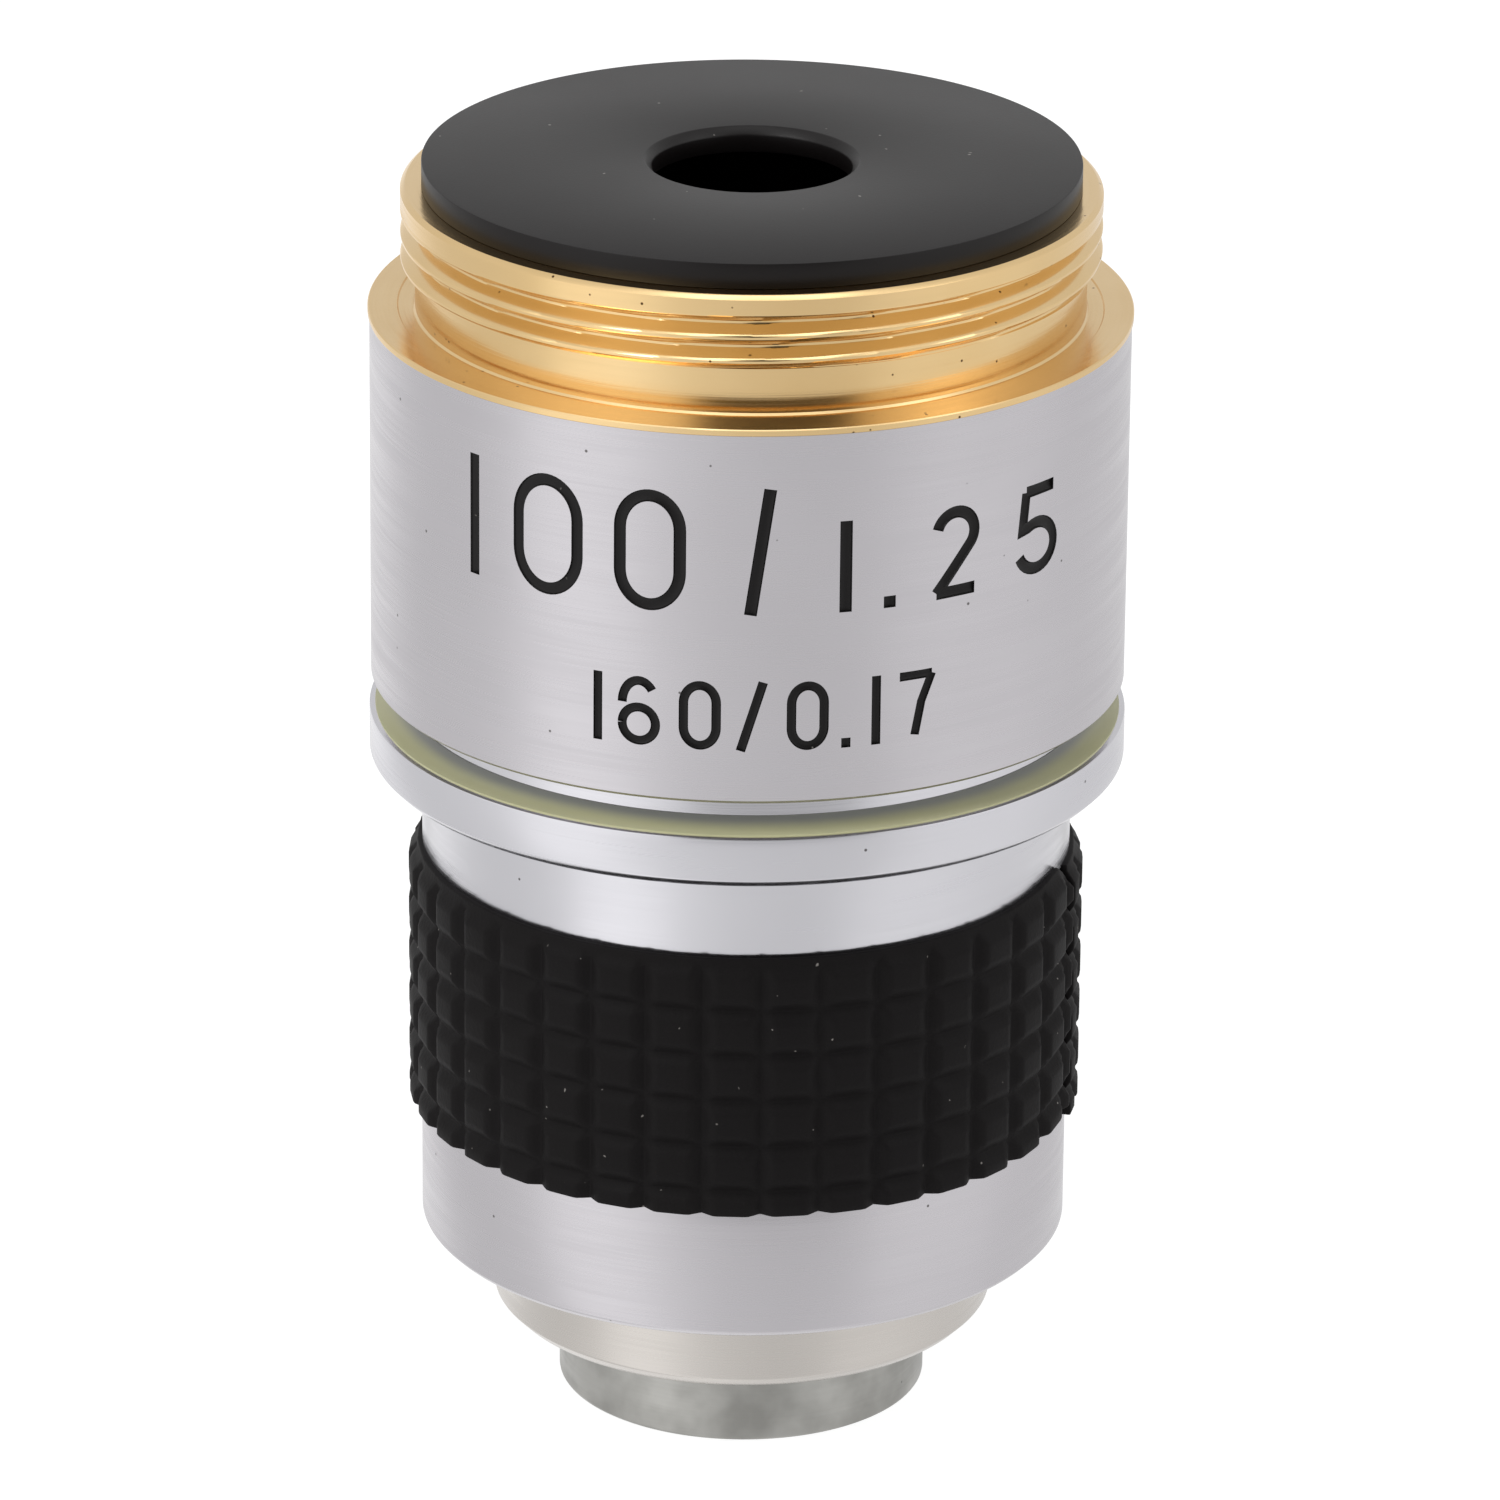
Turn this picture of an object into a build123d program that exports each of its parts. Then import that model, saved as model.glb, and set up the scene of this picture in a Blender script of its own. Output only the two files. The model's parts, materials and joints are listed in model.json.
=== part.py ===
from build123d import *
import os
from math import cos, radians, sin, sqrt

# A short high-power immersion microscope objective, in millimetres.
# The origin is the middle of the tip's flat end and +Z runs up to the screw thread.

# Gaps between pieces
FIT = 0.02              # pieces fixed to each other
RUN = 0.05              # nose tube sliding in its guides
CEMENT = 0.02           # film between the glasses of a cemented pair

# Heights of what shows, from the tip upwards
TIP_H = 2.55
NOSE_H = 2.67
SKIRT_H = 3.98
GRIP_H = 7.94
NECK_H = 2.74
RING_H = 1.54
GROOVE_H = 1.04
SLEEVE_H = 11.04
SHOULDER_H = 0.18
RELIEF_H = 1.34
THREAD_H = 2.26
DISC_H = 0.74

# The standard thread's radius over its crests, and how far the radii that show step from it
THREAD_R = 10.10
RELIEF_DEPTH = 0.42
DISC_STEP = 0.61
SEAT_STEP = 0.10        # relief between the thread and the shoulder's seating face
SEAT_W = 0.80           # seating face, out to the sleeve
SHOULDER_PROUD = 0.05
RING_PROUD = 0.05
BAND_SHY = 0.12         # lacquer's edge inside the sleeve
GROOVE_DEPTH = 1.00
SKIRT_STEP = 1.45
NECK_STEP = 0.03        # neck inside the skirt
LIGHT_HOLE_R = 2.88

# Small edges
EDGE = 0.05             # broken edge on the turned pieces
TIP_ROUND = 0.15        # rounding round the tip's flat end
HOLE_BEVEL = 0.22       # bevel round the light hole
SEAT_UNDERCUT = 0.04    # relief inside the shoulder's seating face

# Rubber strip
STRIP_SINK = 0.40       # how far the strip is let into the body
STRIP_PROUD = 0.38      # how far its pads stand out from the skirt
PAD_ROW = 1.406         # height of a row of pads
PAD_COLUMNS = 36
PAD_GROOVE_W = 0.70
PAD_GROOVE_D = 0.25
PAD_MARGIN = 0.72       # strip's lower edge to the first groove
PAD_BEVEL_H = 0.50      # slope along the strip's upper edge
PAD_ANGLE = 3.0         # a groove nearest the front, from there towards +X
SEAM_ANGLE = 76.0       # from the front towards +X
SEAM_GAP = 0.16
SEAM_NOTCH = 0.90       # height and width of the snipped corner at the seam

# Colour band in the groove
BAND_EDGE_H = 0.06
BAND_WALL_H = 0.32
BAND_HOLLOW = 0.07      # how far the lacquer sinks below a straight slope

# Walls of the housing
SLEEVE_WALL = 1.38
SPIGOT_H = 4.00
SPIGOT_WALL = 0.68
TUBE_WALL = 0.70
MOUNT_WALL = 1.08
NECK_BORE_H = 4.28      # narrow bore under the black disc
DISC_SPIGOT_H = 1.28
DISC_SPIGOT_WALL = 0.60
LIP_H = 1.98            # lip that the nose's flange rests on

# Sliding nose and its spring
TRAVEL = 2.00
TIP_STEP = 1.95         # nose's end face, in to the tip
NOSE_WALL = 1.10
FLANGE_W = 0.65
FLANGE_H = 3.58
CHAMBER_GAP = 0.15      # flange to the spring chamber's wall
NOSE_TAIL = 0.50        # nose tube above the spring seat
SEAT_RING_H = 2.00
SEAT_SUNK = 2.46        # spring seat below the spigot's end
WIRE_R = 0.25
WIRE_SIDES = 6          # facets round the wire
COILS = 5
SCREW_R = 0.80
PIN_R = 0.55
PIN_REACH = 0.55        # how far the pin stands into the chamber
SLOT_CLEAR = 0.10
DRIVER_W = 0.30
DRIVER_D = 0.35

# Front cap and front lens
CAP_STEP = 0.50         # cap's shoulder round its screwed spigot
CAP_SPIGOT_H = 2.45
CAP_WALL = 1.63
CAP_FLOOR_H = 1.30
FRONT_LENS_SHARE = 0.3163       # front lens's radius, as a share of the cap's bore
FRONT_LENS_SET = 0.03
FRONT_LENS_BEVEL = 0.20
FRONT_SEAT_H = 0.35     # straight wall round the front lens

# Second lens and its cell
MENISCUS_SHARE = 0.7169 # second lens's radius, as a share of the cap's bore
MENISCUS_RIM_H = 1.10
MENISCUS_HOLLOW = 0.60
MENISCUS_DOME = 1.00
MENISCUS_LEDGE_H = 0.35
MENISCUS_FLANGE_H = 1.20
MENISCUS_CELL_GAP = 0.10

# Cemented pairs and their cells
LEDGE_W = 0.50
LEDGE_H = 0.50
CELL_OVER = 0.20        # cell wall above the top glass
LOWER_GLASS_SHARE = 0.5732      # glass's radius, as a share of its cell
LOWER_FLINT_H = 1.80
LOWER_CURVE = 1.00
LOWER_CROWN_H = 0.78
LOWER_DOME = 0.90
UPPER_GLASS_SHARE = 0.6847
UPPER_FLINT_H = 1.70
UPPER_CURVE = 1.10
UPPER_CROWN_H = 0.88
UPPER_DOME = 0.90

# Spacers, stop and retaining ring
SPACER_WALL = 1.08
FRONT_SPACER_H = 1.80
MIDDLE_SPACER_H = 3.00
REAR_STOP_H = 0.60
REAR_STOP_SHARE = 0.4618        # radius of its hole, as a share of the cells
RETAINER_H = 1.40
RETAINER_WALL = 1.68
SPANNER_W = 1.00
SPANNER_D = 0.60

# Heights above the tip of the faces that show
Z_NOSE = TIP_H
Z_SKIRT = Z_NOSE + NOSE_H
Z_GRIP = Z_SKIRT + SKIRT_H
Z_NECK = Z_GRIP + GRIP_H
Z_RING = Z_NECK + NECK_H
Z_GROOVE = Z_RING + RING_H
Z_SLEEVE = Z_GROOVE + GROOVE_H
Z_SHOULDER = Z_SLEEVE + SLEEVE_H
Z_SEAT = Z_SHOULDER + SHOULDER_H
Z_THREAD = Z_SEAT + RELIEF_H
Z_END = Z_THREAD + THREAD_H
Z_TOP = Z_END + DISC_H

# Heights inside the housing
Z_FLANGE = Z_SKIRT + LIP_H + FIT
Z_FLANGE_TOP = Z_FLANGE + FLANGE_H
Z_SPIGOT_TOP = Z_SLEEVE + SPIGOT_H
Z_SEAT_RING_TOP = Z_SPIGOT_TOP - SEAT_SUNK
Z_SEAT_RING = Z_SEAT_RING_TOP - SEAT_RING_H
Z_NOSE_TOP = Z_SEAT_RING_TOP + NOSE_TAIL
Z_PIN = Z_FLANGE + (FLANGE_H + TRAVEL) / 2

# Heights of the stack of cells
LOWER_CELL_H = LEDGE_H + LOWER_FLINT_H + CEMENT + LOWER_CROWN_H + LOWER_DOME + CELL_OVER
UPPER_CELL_H = LEDGE_H + UPPER_FLINT_H + CEMENT + UPPER_CROWN_H + UPPER_DOME + CELL_OVER
Z_STACK = Z_NOSE + CAP_SPIGOT_H
Z_FRONT_SPACER = Z_STACK + MENISCUS_FLANGE_H
Z_LOWER_CELL = Z_FRONT_SPACER + FRONT_SPACER_H
Z_MIDDLE_SPACER = Z_LOWER_CELL + LOWER_CELL_H
Z_UPPER_CELL = Z_MIDDLE_SPACER + MIDDLE_SPACER_H
Z_REAR_STOP = Z_UPPER_CELL + UPPER_CELL_H
Z_RETAINER = Z_REAR_STOP + REAR_STOP_H

# Radii of what shows on the housing
RELIEF_R = THREAD_R - RELIEF_DEPTH
DISC_R = THREAD_R - DISC_STEP
SEAT_INNER_R = THREAD_R + SEAT_STEP
SLEEVE_R = SEAT_INNER_R + SEAT_W
SHOULDER_R = SLEEVE_R + SHOULDER_PROUD
RING_R = SLEEVE_R + RING_PROUD
BAND_R = SLEEVE_R - BAND_SHY
GROOVE_R = SLEEVE_R - GROOVE_DEPTH
SKIRT_R = SLEEVE_R - SKIRT_STEP
NECK_R = SKIRT_R - NECK_STEP
STRIP_R = SKIRT_R + STRIP_PROUD
STRIP_FLOOR_R = SKIRT_R - STRIP_SINK

# Radii inside the housing, from the sleeve inwards
SLEEVE_BORE_R = SLEEVE_R - SLEEVE_WALL
TUBE_R = SLEEVE_BORE_R - FIT
TUBE_BORE_R = TUBE_R - TUBE_WALL
SPIGOT_R = TUBE_BORE_R - FIT
CHAMBER_R = SPIGOT_R - SPIGOT_WALL
MOUNT_BORE_R = RELIEF_R - MOUNT_WALL
DISC_SPIGOT_R = MOUNT_BORE_R - FIT

# Radii of the nose, from its flange inwards
FLANGE_R = CHAMBER_R - CHAMBER_GAP
NOSE_R = FLANGE_R - FLANGE_W
TIP_R = NOSE_R - TIP_STEP
GUIDE_BORE_R = NOSE_R + RUN
SPRING_R = (NOSE_R + CHAMBER_R) / 2
CAP_SPIGOT_R = TIP_R - CAP_STEP
CAP_BORE_R = CAP_SPIGOT_R - CAP_WALL
CELL_BORE_R = NOSE_R - NOSE_WALL
CELL_R = CELL_BORE_R - FIT
SPACER_BORE_R = CELL_R - SPACER_WALL
RETAINER_BORE_R = CELL_R - RETAINER_WALL
FRONT_LENS_R = CAP_BORE_R * FRONT_LENS_SHARE
MENISCUS_R = CAP_BORE_R * MENISCUS_SHARE
LOWER_GLASS_R = CELL_R * LOWER_GLASS_SHARE
UPPER_GLASS_R = CELL_R * UPPER_GLASS_SHARE
REAR_STOP_R = CELL_R * REAR_STOP_SHARE


def turned(outline):
    """Turn a closed outline of (radius, height) points about the optical axis."""
    profile = Plane.XZ * make_face(Polyline(*outline, close=True))
    return revolve(profile, axis=Axis.Z)


def cap_edge(rim_r, rim_z, sag):
    """Give one lens face from the axis to its rim: an arc, or a line where it is flat."""
    middle = (0, rim_z + sag)
    rim = (rim_r, rim_z)
    if sag == 0:
        return Line(middle, rim)
    sphere_r = (rim_r**2 + sag**2) / (2 * abs(sag))
    fall = sphere_r - sqrt(sphere_r**2 - (rim_r / 2) ** 2)
    half_way = (rim_r / 2, rim_z + sag - fall * sag / abs(sag))
    return ThreePointArc(middle, half_way, rim)


def glass(rim_r, rim_low, rim_high, sag_low, sag_high):
    """Lens with a ground rim. A positive sag lifts the middle of that face."""
    low = cap_edge(rim_r, rim_low, sag_low)
    high = cap_edge(rim_r, rim_high, sag_high)
    axis_line = Line((0, rim_low + sag_low), (0, rim_high + sag_high))
    rim_line = Line((rim_r, rim_low), (rim_r, rim_high))
    profile = Plane.XZ * make_face([low, rim_line, high, axis_line])
    return revolve(profile, axis=Axis.Z)


def ring(inner_r, outer_r, low, high):
    """Plain ring with its two outer edges broken."""
    return turned([
        (inner_r, low),
        (outer_r - EDGE, low),
        (outer_r, low + EDGE),
        (outer_r, high - EDGE),
        (outer_r - EDGE, high),
        (inner_r, high),
    ])


def spanner_slots(outer_r, top):
    """Cutter for two slots across a ring's top face, for a pin spanner."""
    return Pos(0, 0, top) * Box(2 * outer_r + 1, SPANNER_W, 2 * SPANNER_D)


def top_stop():
    """Black disc on the thread's end, with the light hole and a spigot below."""
    inner_r = DISC_SPIGOT_R - DISC_SPIGOT_WALL
    return turned([
        (LIGHT_HOLE_R, Z_END),
        (inner_r, Z_END),
        (inner_r, Z_END - DISC_SPIGOT_H),
        (DISC_SPIGOT_R - EDGE, Z_END - DISC_SPIGOT_H),
        (DISC_SPIGOT_R, Z_END - DISC_SPIGOT_H + EDGE),
        (DISC_SPIGOT_R, Z_END),
        (DISC_R, Z_END),
        (DISC_R, Z_TOP - EDGE),
        (DISC_R - EDGE, Z_TOP),
        (LIGHT_HOLE_R + HOLE_BEVEL, Z_TOP),
        (LIGHT_HOLE_R, Z_TOP - HOLE_BEVEL),
    ])


def mount_body():
    """Brass body: inner tube, seating shoulder, relief neck and the thread's outside."""
    return turned([
        (TUBE_BORE_R, Z_SLEEVE),
        (TUBE_R, Z_SLEEVE),
        (TUBE_R, Z_SHOULDER),
        (SHOULDER_R, Z_SHOULDER),
        (SHOULDER_R, Z_SEAT),
        (SEAT_INNER_R, Z_SEAT),
        (SEAT_INNER_R, Z_SEAT - SEAT_UNDERCUT),
        (RELIEF_R, Z_SEAT - SEAT_UNDERCUT),
        (RELIEF_R, Z_THREAD),
        (THREAD_R, Z_THREAD),
        (THREAD_R, Z_END),
        (MOUNT_BORE_R, Z_END),
        (MOUNT_BORE_R, Z_END - NECK_BORE_H),
        (TUBE_BORE_R, Z_END - NECK_BORE_H),
    ])


def barrel_sleeve():
    """Outer sleeve between the groove and the brass shoulder."""
    return turned([
        (SLEEVE_BORE_R, Z_SLEEVE),
        (SLEEVE_R - EDGE, Z_SLEEVE),
        (SLEEVE_R, Z_SLEEVE + EDGE),
        (SLEEVE_R, Z_SHOULDER),
        (SLEEVE_BORE_R, Z_SHOULDER),
    ])


def colour_band():
    """Lacquer in the groove, drawn up the wall in a hollow curve."""
    inner_r = GROOVE_R + FIT
    floor = Z_GROOVE
    middle_r = (inner_r + BAND_R) / 2
    middle_z = floor + (BAND_EDGE_H + BAND_WALL_H) / 2 - BAND_HOLLOW
    outer = Polyline((inner_r, floor + BAND_WALL_H), (inner_r, floor), (BAND_R, floor),
                     (BAND_R, floor + BAND_EDGE_H))
    hollow = ThreePointArc((BAND_R, floor + BAND_EDGE_H), (middle_r, middle_z),
                           (inner_r, floor + BAND_WALL_H))
    return revolve(Plane.XZ * make_face([outer, hollow]), axis=Axis.Z)


def screw_axis(radius):
    """Frame on the back of the body, at a radius from the optical axis, facing outwards."""
    return Plane(origin=(0, radius, Z_PIN), x_dir=(1, 0, 0), z_dir=(0, 1, 0))


def lower_body():
    """Lower body: skirt, recess for the strip, neck, proud ring, groove and upper spigot."""
    body = turned([
        (GUIDE_BORE_R, Z_SKIRT),
        (SKIRT_R - EDGE, Z_SKIRT),
        (SKIRT_R, Z_SKIRT + EDGE),
        (SKIRT_R, Z_GRIP),
        (STRIP_FLOOR_R, Z_GRIP),
        (STRIP_FLOOR_R, Z_NECK),
        (NECK_R, Z_NECK),
        (NECK_R, Z_RING),
        (RING_R - EDGE, Z_RING),
        (RING_R, Z_RING + EDGE),
        (RING_R, Z_GROOVE - EDGE),
        (RING_R - EDGE, Z_GROOVE),
        (GROOVE_R, Z_GROOVE),
        (GROOVE_R, Z_SLEEVE),
        (SPIGOT_R, Z_SLEEVE),
        (SPIGOT_R, Z_SPIGOT_TOP - EDGE),
        (SPIGOT_R - EDGE, Z_SPIGOT_TOP),
        (CHAMBER_R, Z_SPIGOT_TOP),
        (CHAMBER_R, Z_SKIRT + LIP_H),
        (GUIDE_BORE_R, Z_SKIRT + LIP_H),
    ])
    middle_r = (CHAMBER_R + STRIP_FLOOR_R) / 2
    hole = screw_axis(middle_r) * Cylinder(SCREW_R + FIT, 2 * (STRIP_FLOOR_R - CHAMBER_R))
    return body - hole


def pad_column(low, high, inner_r):
    """One column of the strip's flat-faced pads on +X, with half a groove at each side."""
    half = radians(180 / PAD_COLUMNS)
    half_w = PAD_GROOVE_W / 2
    top_w = STRIP_R * sin(half) - half_w
    flat_r = sqrt(STRIP_R**2 - top_w**2)
    valley_r = flat_r - PAD_GROOVE_D
    outline = [(inner_r, low), (flat_r, low)]
    groove_z = low + PAD_MARGIN
    while groove_z + half_w + PAD_BEVEL_H < high:
        outline.append((flat_r, groove_z - half_w))
        outline.append((valley_r, groove_z))
        outline.append((flat_r, groove_z + half_w))
        groove_z += PAD_ROW
    outline += [(flat_r, high - PAD_BEVEL_H), (valley_r, high - EDGE), (valley_r, high),
                (inner_r, high)]
    bar = extrude(Plane.XZ * make_face(Polyline(*outline, close=True)), STRIP_R * sin(half),
                  both=True)
    corner_r = valley_r / cos(half)
    section = make_face(Polyline(
        (0, 0),
        (corner_r * cos(half), -corner_r * sin(half)),
        (flat_r, -top_w),
        (flat_r + half_w, -top_w),
        (flat_r + half_w, top_w),
        (flat_r, top_w),
        (corner_r * cos(half), corner_r * sin(half)),
        close=True,
    ))
    return bar & Pos(0, 0, low - FIT) * extrude(section, high - low + 2 * FIT)


def grip_strip():
    """Rubber strip with rows and columns of flat-topped pyramids, and its seam."""
    low = Z_GRIP + FIT
    high = Z_NECK - FIT
    inner_r = STRIP_FLOOR_R + FIT
    column = pad_column(low, high, inner_r)
    step = 360 / PAD_COLUMNS
    first = PAD_ANGLE - 90 + step / 2
    strip = Part() + [Rot(0, 0, first + step * index) * column
                      for index in range(PAD_COLUMNS)]
    middle_r = (inner_r + STRIP_R) / 2
    depth = 2 * (STRIP_R - inner_r)
    height = high - low
    seam = Pos(middle_r, 0, low + height / 2) * Box(depth, SEAM_GAP, height + 1)
    corner = make_face(Polyline((0, -SEAM_NOTCH), (SEAM_NOTCH / 2, 0.1), (-SEAM_NOTCH / 2, 0.1),
                                close=True))
    facing = Plane(origin=(inner_r - 0.2, 0, high), x_dir=(0, 1, 0), z_dir=(1, 0, 0))
    notch = extrude(facing * corner, depth)
    return strip - Rot(0, 0, SEAM_ANGLE - 90) * (seam + notch)


def spring_seat():
    """Screwed ring above the spring, whose bore guides the nose tube."""
    body = ring(GUIDE_BORE_R, CHAMBER_R - FIT, Z_SEAT_RING, Z_SEAT_RING_TOP)
    return body - spanner_slots(CHAMBER_R, Z_SEAT_RING_TOP)


def guide_screw():
    """Headless screw in the body's wall, whose pin stands in the flange's slot."""
    low = CHAMBER_R + FIT
    high = STRIP_FLOOR_R - FIT
    screw = screw_axis((low + high) / 2) * Cylinder(SCREW_R, high - low)
    pin = screw_axis(low - PIN_REACH / 2) * Cylinder(PIN_R, PIN_REACH)
    slot = screw_axis(high) * Box(2 * SCREW_R + 1, DRIVER_W, 2 * DRIVER_D)
    return screw + pin - slot


def return_spring():
    """Coil spring between the nose's flange and the spring seat, with ground ends."""
    low = Z_FLANGE_TOP + FIT
    high = Z_SEAT_RING - FIT
    path = Pos(0, 0, low) * Helix((high - low) / COILS, high - low, SPRING_R)
    section = Plane(origin=path @ 0, z_dir=path % 0) * RegularPolygon(WIRE_R, WIRE_SIDES)
    coil = sweep(section, path=path, is_frenet=True)
    room = 2 * (SPRING_R + 2 * WIRE_R)
    return coil & Pos(0, 0, (low + high) / 2) * Box(room, room, high - low)


def nose_sleeve():
    """Sliding nose tube, with the flange that rests on the lip and takes the spring."""
    body = turned([
        (CAP_SPIGOT_R + FIT, Z_NOSE),
        (NOSE_R - EDGE, Z_NOSE),
        (NOSE_R, Z_NOSE + EDGE),
        (NOSE_R, Z_FLANGE),
        (FLANGE_R, Z_FLANGE),
        (FLANGE_R, Z_FLANGE_TOP),
        (NOSE_R, Z_FLANGE_TOP),
        (NOSE_R, Z_NOSE_TOP),
        (CELL_BORE_R, Z_NOSE_TOP),
        (CELL_BORE_R, Z_STACK),
        (CAP_SPIGOT_R + FIT, Z_STACK),
    ])
    slot_w = 2 * (PIN_R + SLOT_CLEAR)
    slot_y = NOSE_R + SLOT_CLEAR + FLANGE_W
    slot = Pos(0, slot_y, Z_FLANGE + FLANGE_H / 2) * Box(slot_w, 2 * FLANGE_W, FLANGE_H + 1)
    return body - slot


def front_cap():
    """Tip: flat end with the front lens's seat, and a spigot screwed into the nose."""
    lens_bore_r = FRONT_LENS_R + FIT
    seat_low = FRONT_LENS_SET + FRONT_LENS_BEVEL
    cone_low = seat_low + FRONT_SEAT_H
    cone_r = lens_bore_r + CAP_FLOOR_H - cone_low
    round_cut = TIP_ROUND * (1 - sin(radians(45)))
    return turned([
        (lens_bore_r - seat_low, 0),
        (TIP_R - TIP_ROUND, 0),
        (TIP_R - round_cut, round_cut),
        (TIP_R, TIP_ROUND),
        (TIP_R, Z_NOSE),
        (CAP_SPIGOT_R, Z_NOSE),
        (CAP_SPIGOT_R, Z_STACK - FIT),
        (CAP_BORE_R, Z_STACK - FIT),
        (CAP_BORE_R, CAP_FLOOR_H),
        (cone_r, CAP_FLOOR_H),
        (lens_bore_r, cone_low),
        (lens_bore_r, seat_low),
    ])


def front_lens():
    """Half-ball front lens with a bevelled flat face, just inside the tip's end."""
    bevel_top = FRONT_LENS_SET + FRONT_LENS_BEVEL
    dome_top = bevel_top + FRONT_LENS_R
    flat_r = FRONT_LENS_R - FRONT_LENS_BEVEL
    dome = cap_edge(FRONT_LENS_R, bevel_top, FRONT_LENS_R)
    rest = Polyline((FRONT_LENS_R, bevel_top), (flat_r, FRONT_LENS_SET), (0, FRONT_LENS_SET),
                    (0, dome_top))
    return revolve(Plane.XZ * make_face([dome, rest]), axis=Axis.Z)


def meniscus_cell():
    """Stepped cell that reaches down into the cap and clamps on the nose's step."""
    low = CAP_FLOOR_H + MENISCUS_CELL_GAP
    ledge_top = low + MENISCUS_LEDGE_H
    lens_bore_r = MENISCUS_R + FIT
    bore_top = ledge_top + MENISCUS_RIM_H + MENISCUS_DOME + CELL_OVER
    spigot_r = CAP_BORE_R - FIT
    return turned([
        (MENISCUS_R - LEDGE_W, low),
        (spigot_r, low),
        (spigot_r, Z_STACK),
        (CELL_R, Z_STACK),
        (CELL_R, Z_FRONT_SPACER),
        (SPACER_BORE_R, Z_FRONT_SPACER),
        (lens_bore_r, bore_top),
        (lens_bore_r, ledge_top),
        (MENISCUS_R - LEDGE_W, ledge_top),
    ])


def meniscus_lens():
    """Second lens, hollow below and domed above."""
    low = CAP_FLOOR_H + MENISCUS_CELL_GAP + MENISCUS_LEDGE_H
    return glass(MENISCUS_R, low, low + MENISCUS_RIM_H, MENISCUS_HOLLOW, MENISCUS_DOME)


def doublet_cell(glass_r, low, height):
    """Cell with a bottom ledge for a cemented pair of lenses."""
    return turned([
        (glass_r - LEDGE_W, low),
        (CELL_R - EDGE, low),
        (CELL_R, low + EDGE),
        (CELL_R, low + height - EDGE),
        (CELL_R - EDGE, low + height),
        (glass_r + FIT, low + height),
        (glass_r + FIT, low + LEDGE_H),
        (glass_r - LEDGE_W, low + LEDGE_H),
    ])


def flint(glass_r, cell_low, height, curve):
    """Glass of a cemented pair that rests on the ledge, with a hollow upper face."""
    low = cell_low + LEDGE_H
    return glass(glass_r, low, low + height, 0, -curve)


def crown(glass_r, cell_low, flint_h, height, curve, dome):
    """Glass of a cemented pair that lies in the other's hollow and is domed above."""
    low = cell_low + LEDGE_H + flint_h + CEMENT
    return glass(glass_r, low, low + height, -curve, dome)


def rear_stop():
    """Thin aperture ring behind the last glass, with its hole bevelled from above."""
    bevel_r = REAR_STOP_R + REAR_STOP_H / 2
    return turned([
        (REAR_STOP_R, Z_REAR_STOP),
        (CELL_R, Z_REAR_STOP),
        (CELL_R, Z_RETAINER),
        (bevel_r, Z_RETAINER),
        (REAR_STOP_R, Z_REAR_STOP + REAR_STOP_H / 2),
    ])


def cell_retainer():
    """Screwed ring that clamps the stack of cells."""
    top = Z_RETAINER + RETAINER_H
    body = ring(RETAINER_BORE_R, CELL_R, Z_RETAINER, top)
    return body - spanner_slots(CELL_R, top)


def housing_pieces():
    """Pieces that stay with the screw thread."""
    return {
        "top_stop": top_stop(),
        "mount_body": mount_body(),
        "barrel_sleeve": barrel_sleeve(),
        "colour_band": colour_band(),
        "lower_body": lower_body(),
        "grip_strip": grip_strip(),
        "spring_seat": spring_seat(),
        "guide_screw": guide_screw(),
        "return_spring": return_spring(),
    }


def nose_pieces():
    """Pieces that slide up with the nose."""
    return {
        "nose_sleeve": nose_sleeve(),
        "front_cap": front_cap(),
        "front_lens": front_lens(),
        "meniscus_cell": meniscus_cell(),
        "meniscus_lens": meniscus_lens(),
        "front_spacer": ring(SPACER_BORE_R, CELL_R, Z_FRONT_SPACER, Z_LOWER_CELL),
        "lower_doublet_cell": doublet_cell(LOWER_GLASS_R, Z_LOWER_CELL, LOWER_CELL_H),
        "lower_doublet_flint": flint(LOWER_GLASS_R, Z_LOWER_CELL, LOWER_FLINT_H, LOWER_CURVE),
        "lower_doublet_crown": crown(LOWER_GLASS_R, Z_LOWER_CELL, LOWER_FLINT_H,
                                     LOWER_CROWN_H, LOWER_CURVE, LOWER_DOME),
        "middle_spacer": ring(SPACER_BORE_R, CELL_R, Z_MIDDLE_SPACER, Z_UPPER_CELL),
        "upper_doublet_cell": doublet_cell(UPPER_GLASS_R, Z_UPPER_CELL, UPPER_CELL_H),
        "upper_doublet_flint": flint(UPPER_GLASS_R, Z_UPPER_CELL, UPPER_FLINT_H, UPPER_CURVE),
        "upper_doublet_crown": crown(UPPER_GLASS_R, Z_UPPER_CELL, UPPER_FLINT_H,
                                     UPPER_CROWN_H, UPPER_CURVE, UPPER_DOME),
        "rear_stop": rear_stop(),
        "cell_retainer": cell_retainer(),
    }


os.makedirs("parts", exist_ok=True)
for name, shape in (housing_pieces() | nose_pieces()).items():
    export_step(shape, f"parts/{name}.step")
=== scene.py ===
"""Looks of a short immersion microscope objective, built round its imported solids."""

import json
import logging
from contextlib import contextmanager
from dataclasses import dataclass, field
from enum import Enum
from math import atan2, cos, floor, hypot, pi, radians, sin
from typing import Callable, Iterator, Sequence

import bpy
from mathutils import Matrix, Vector

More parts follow.
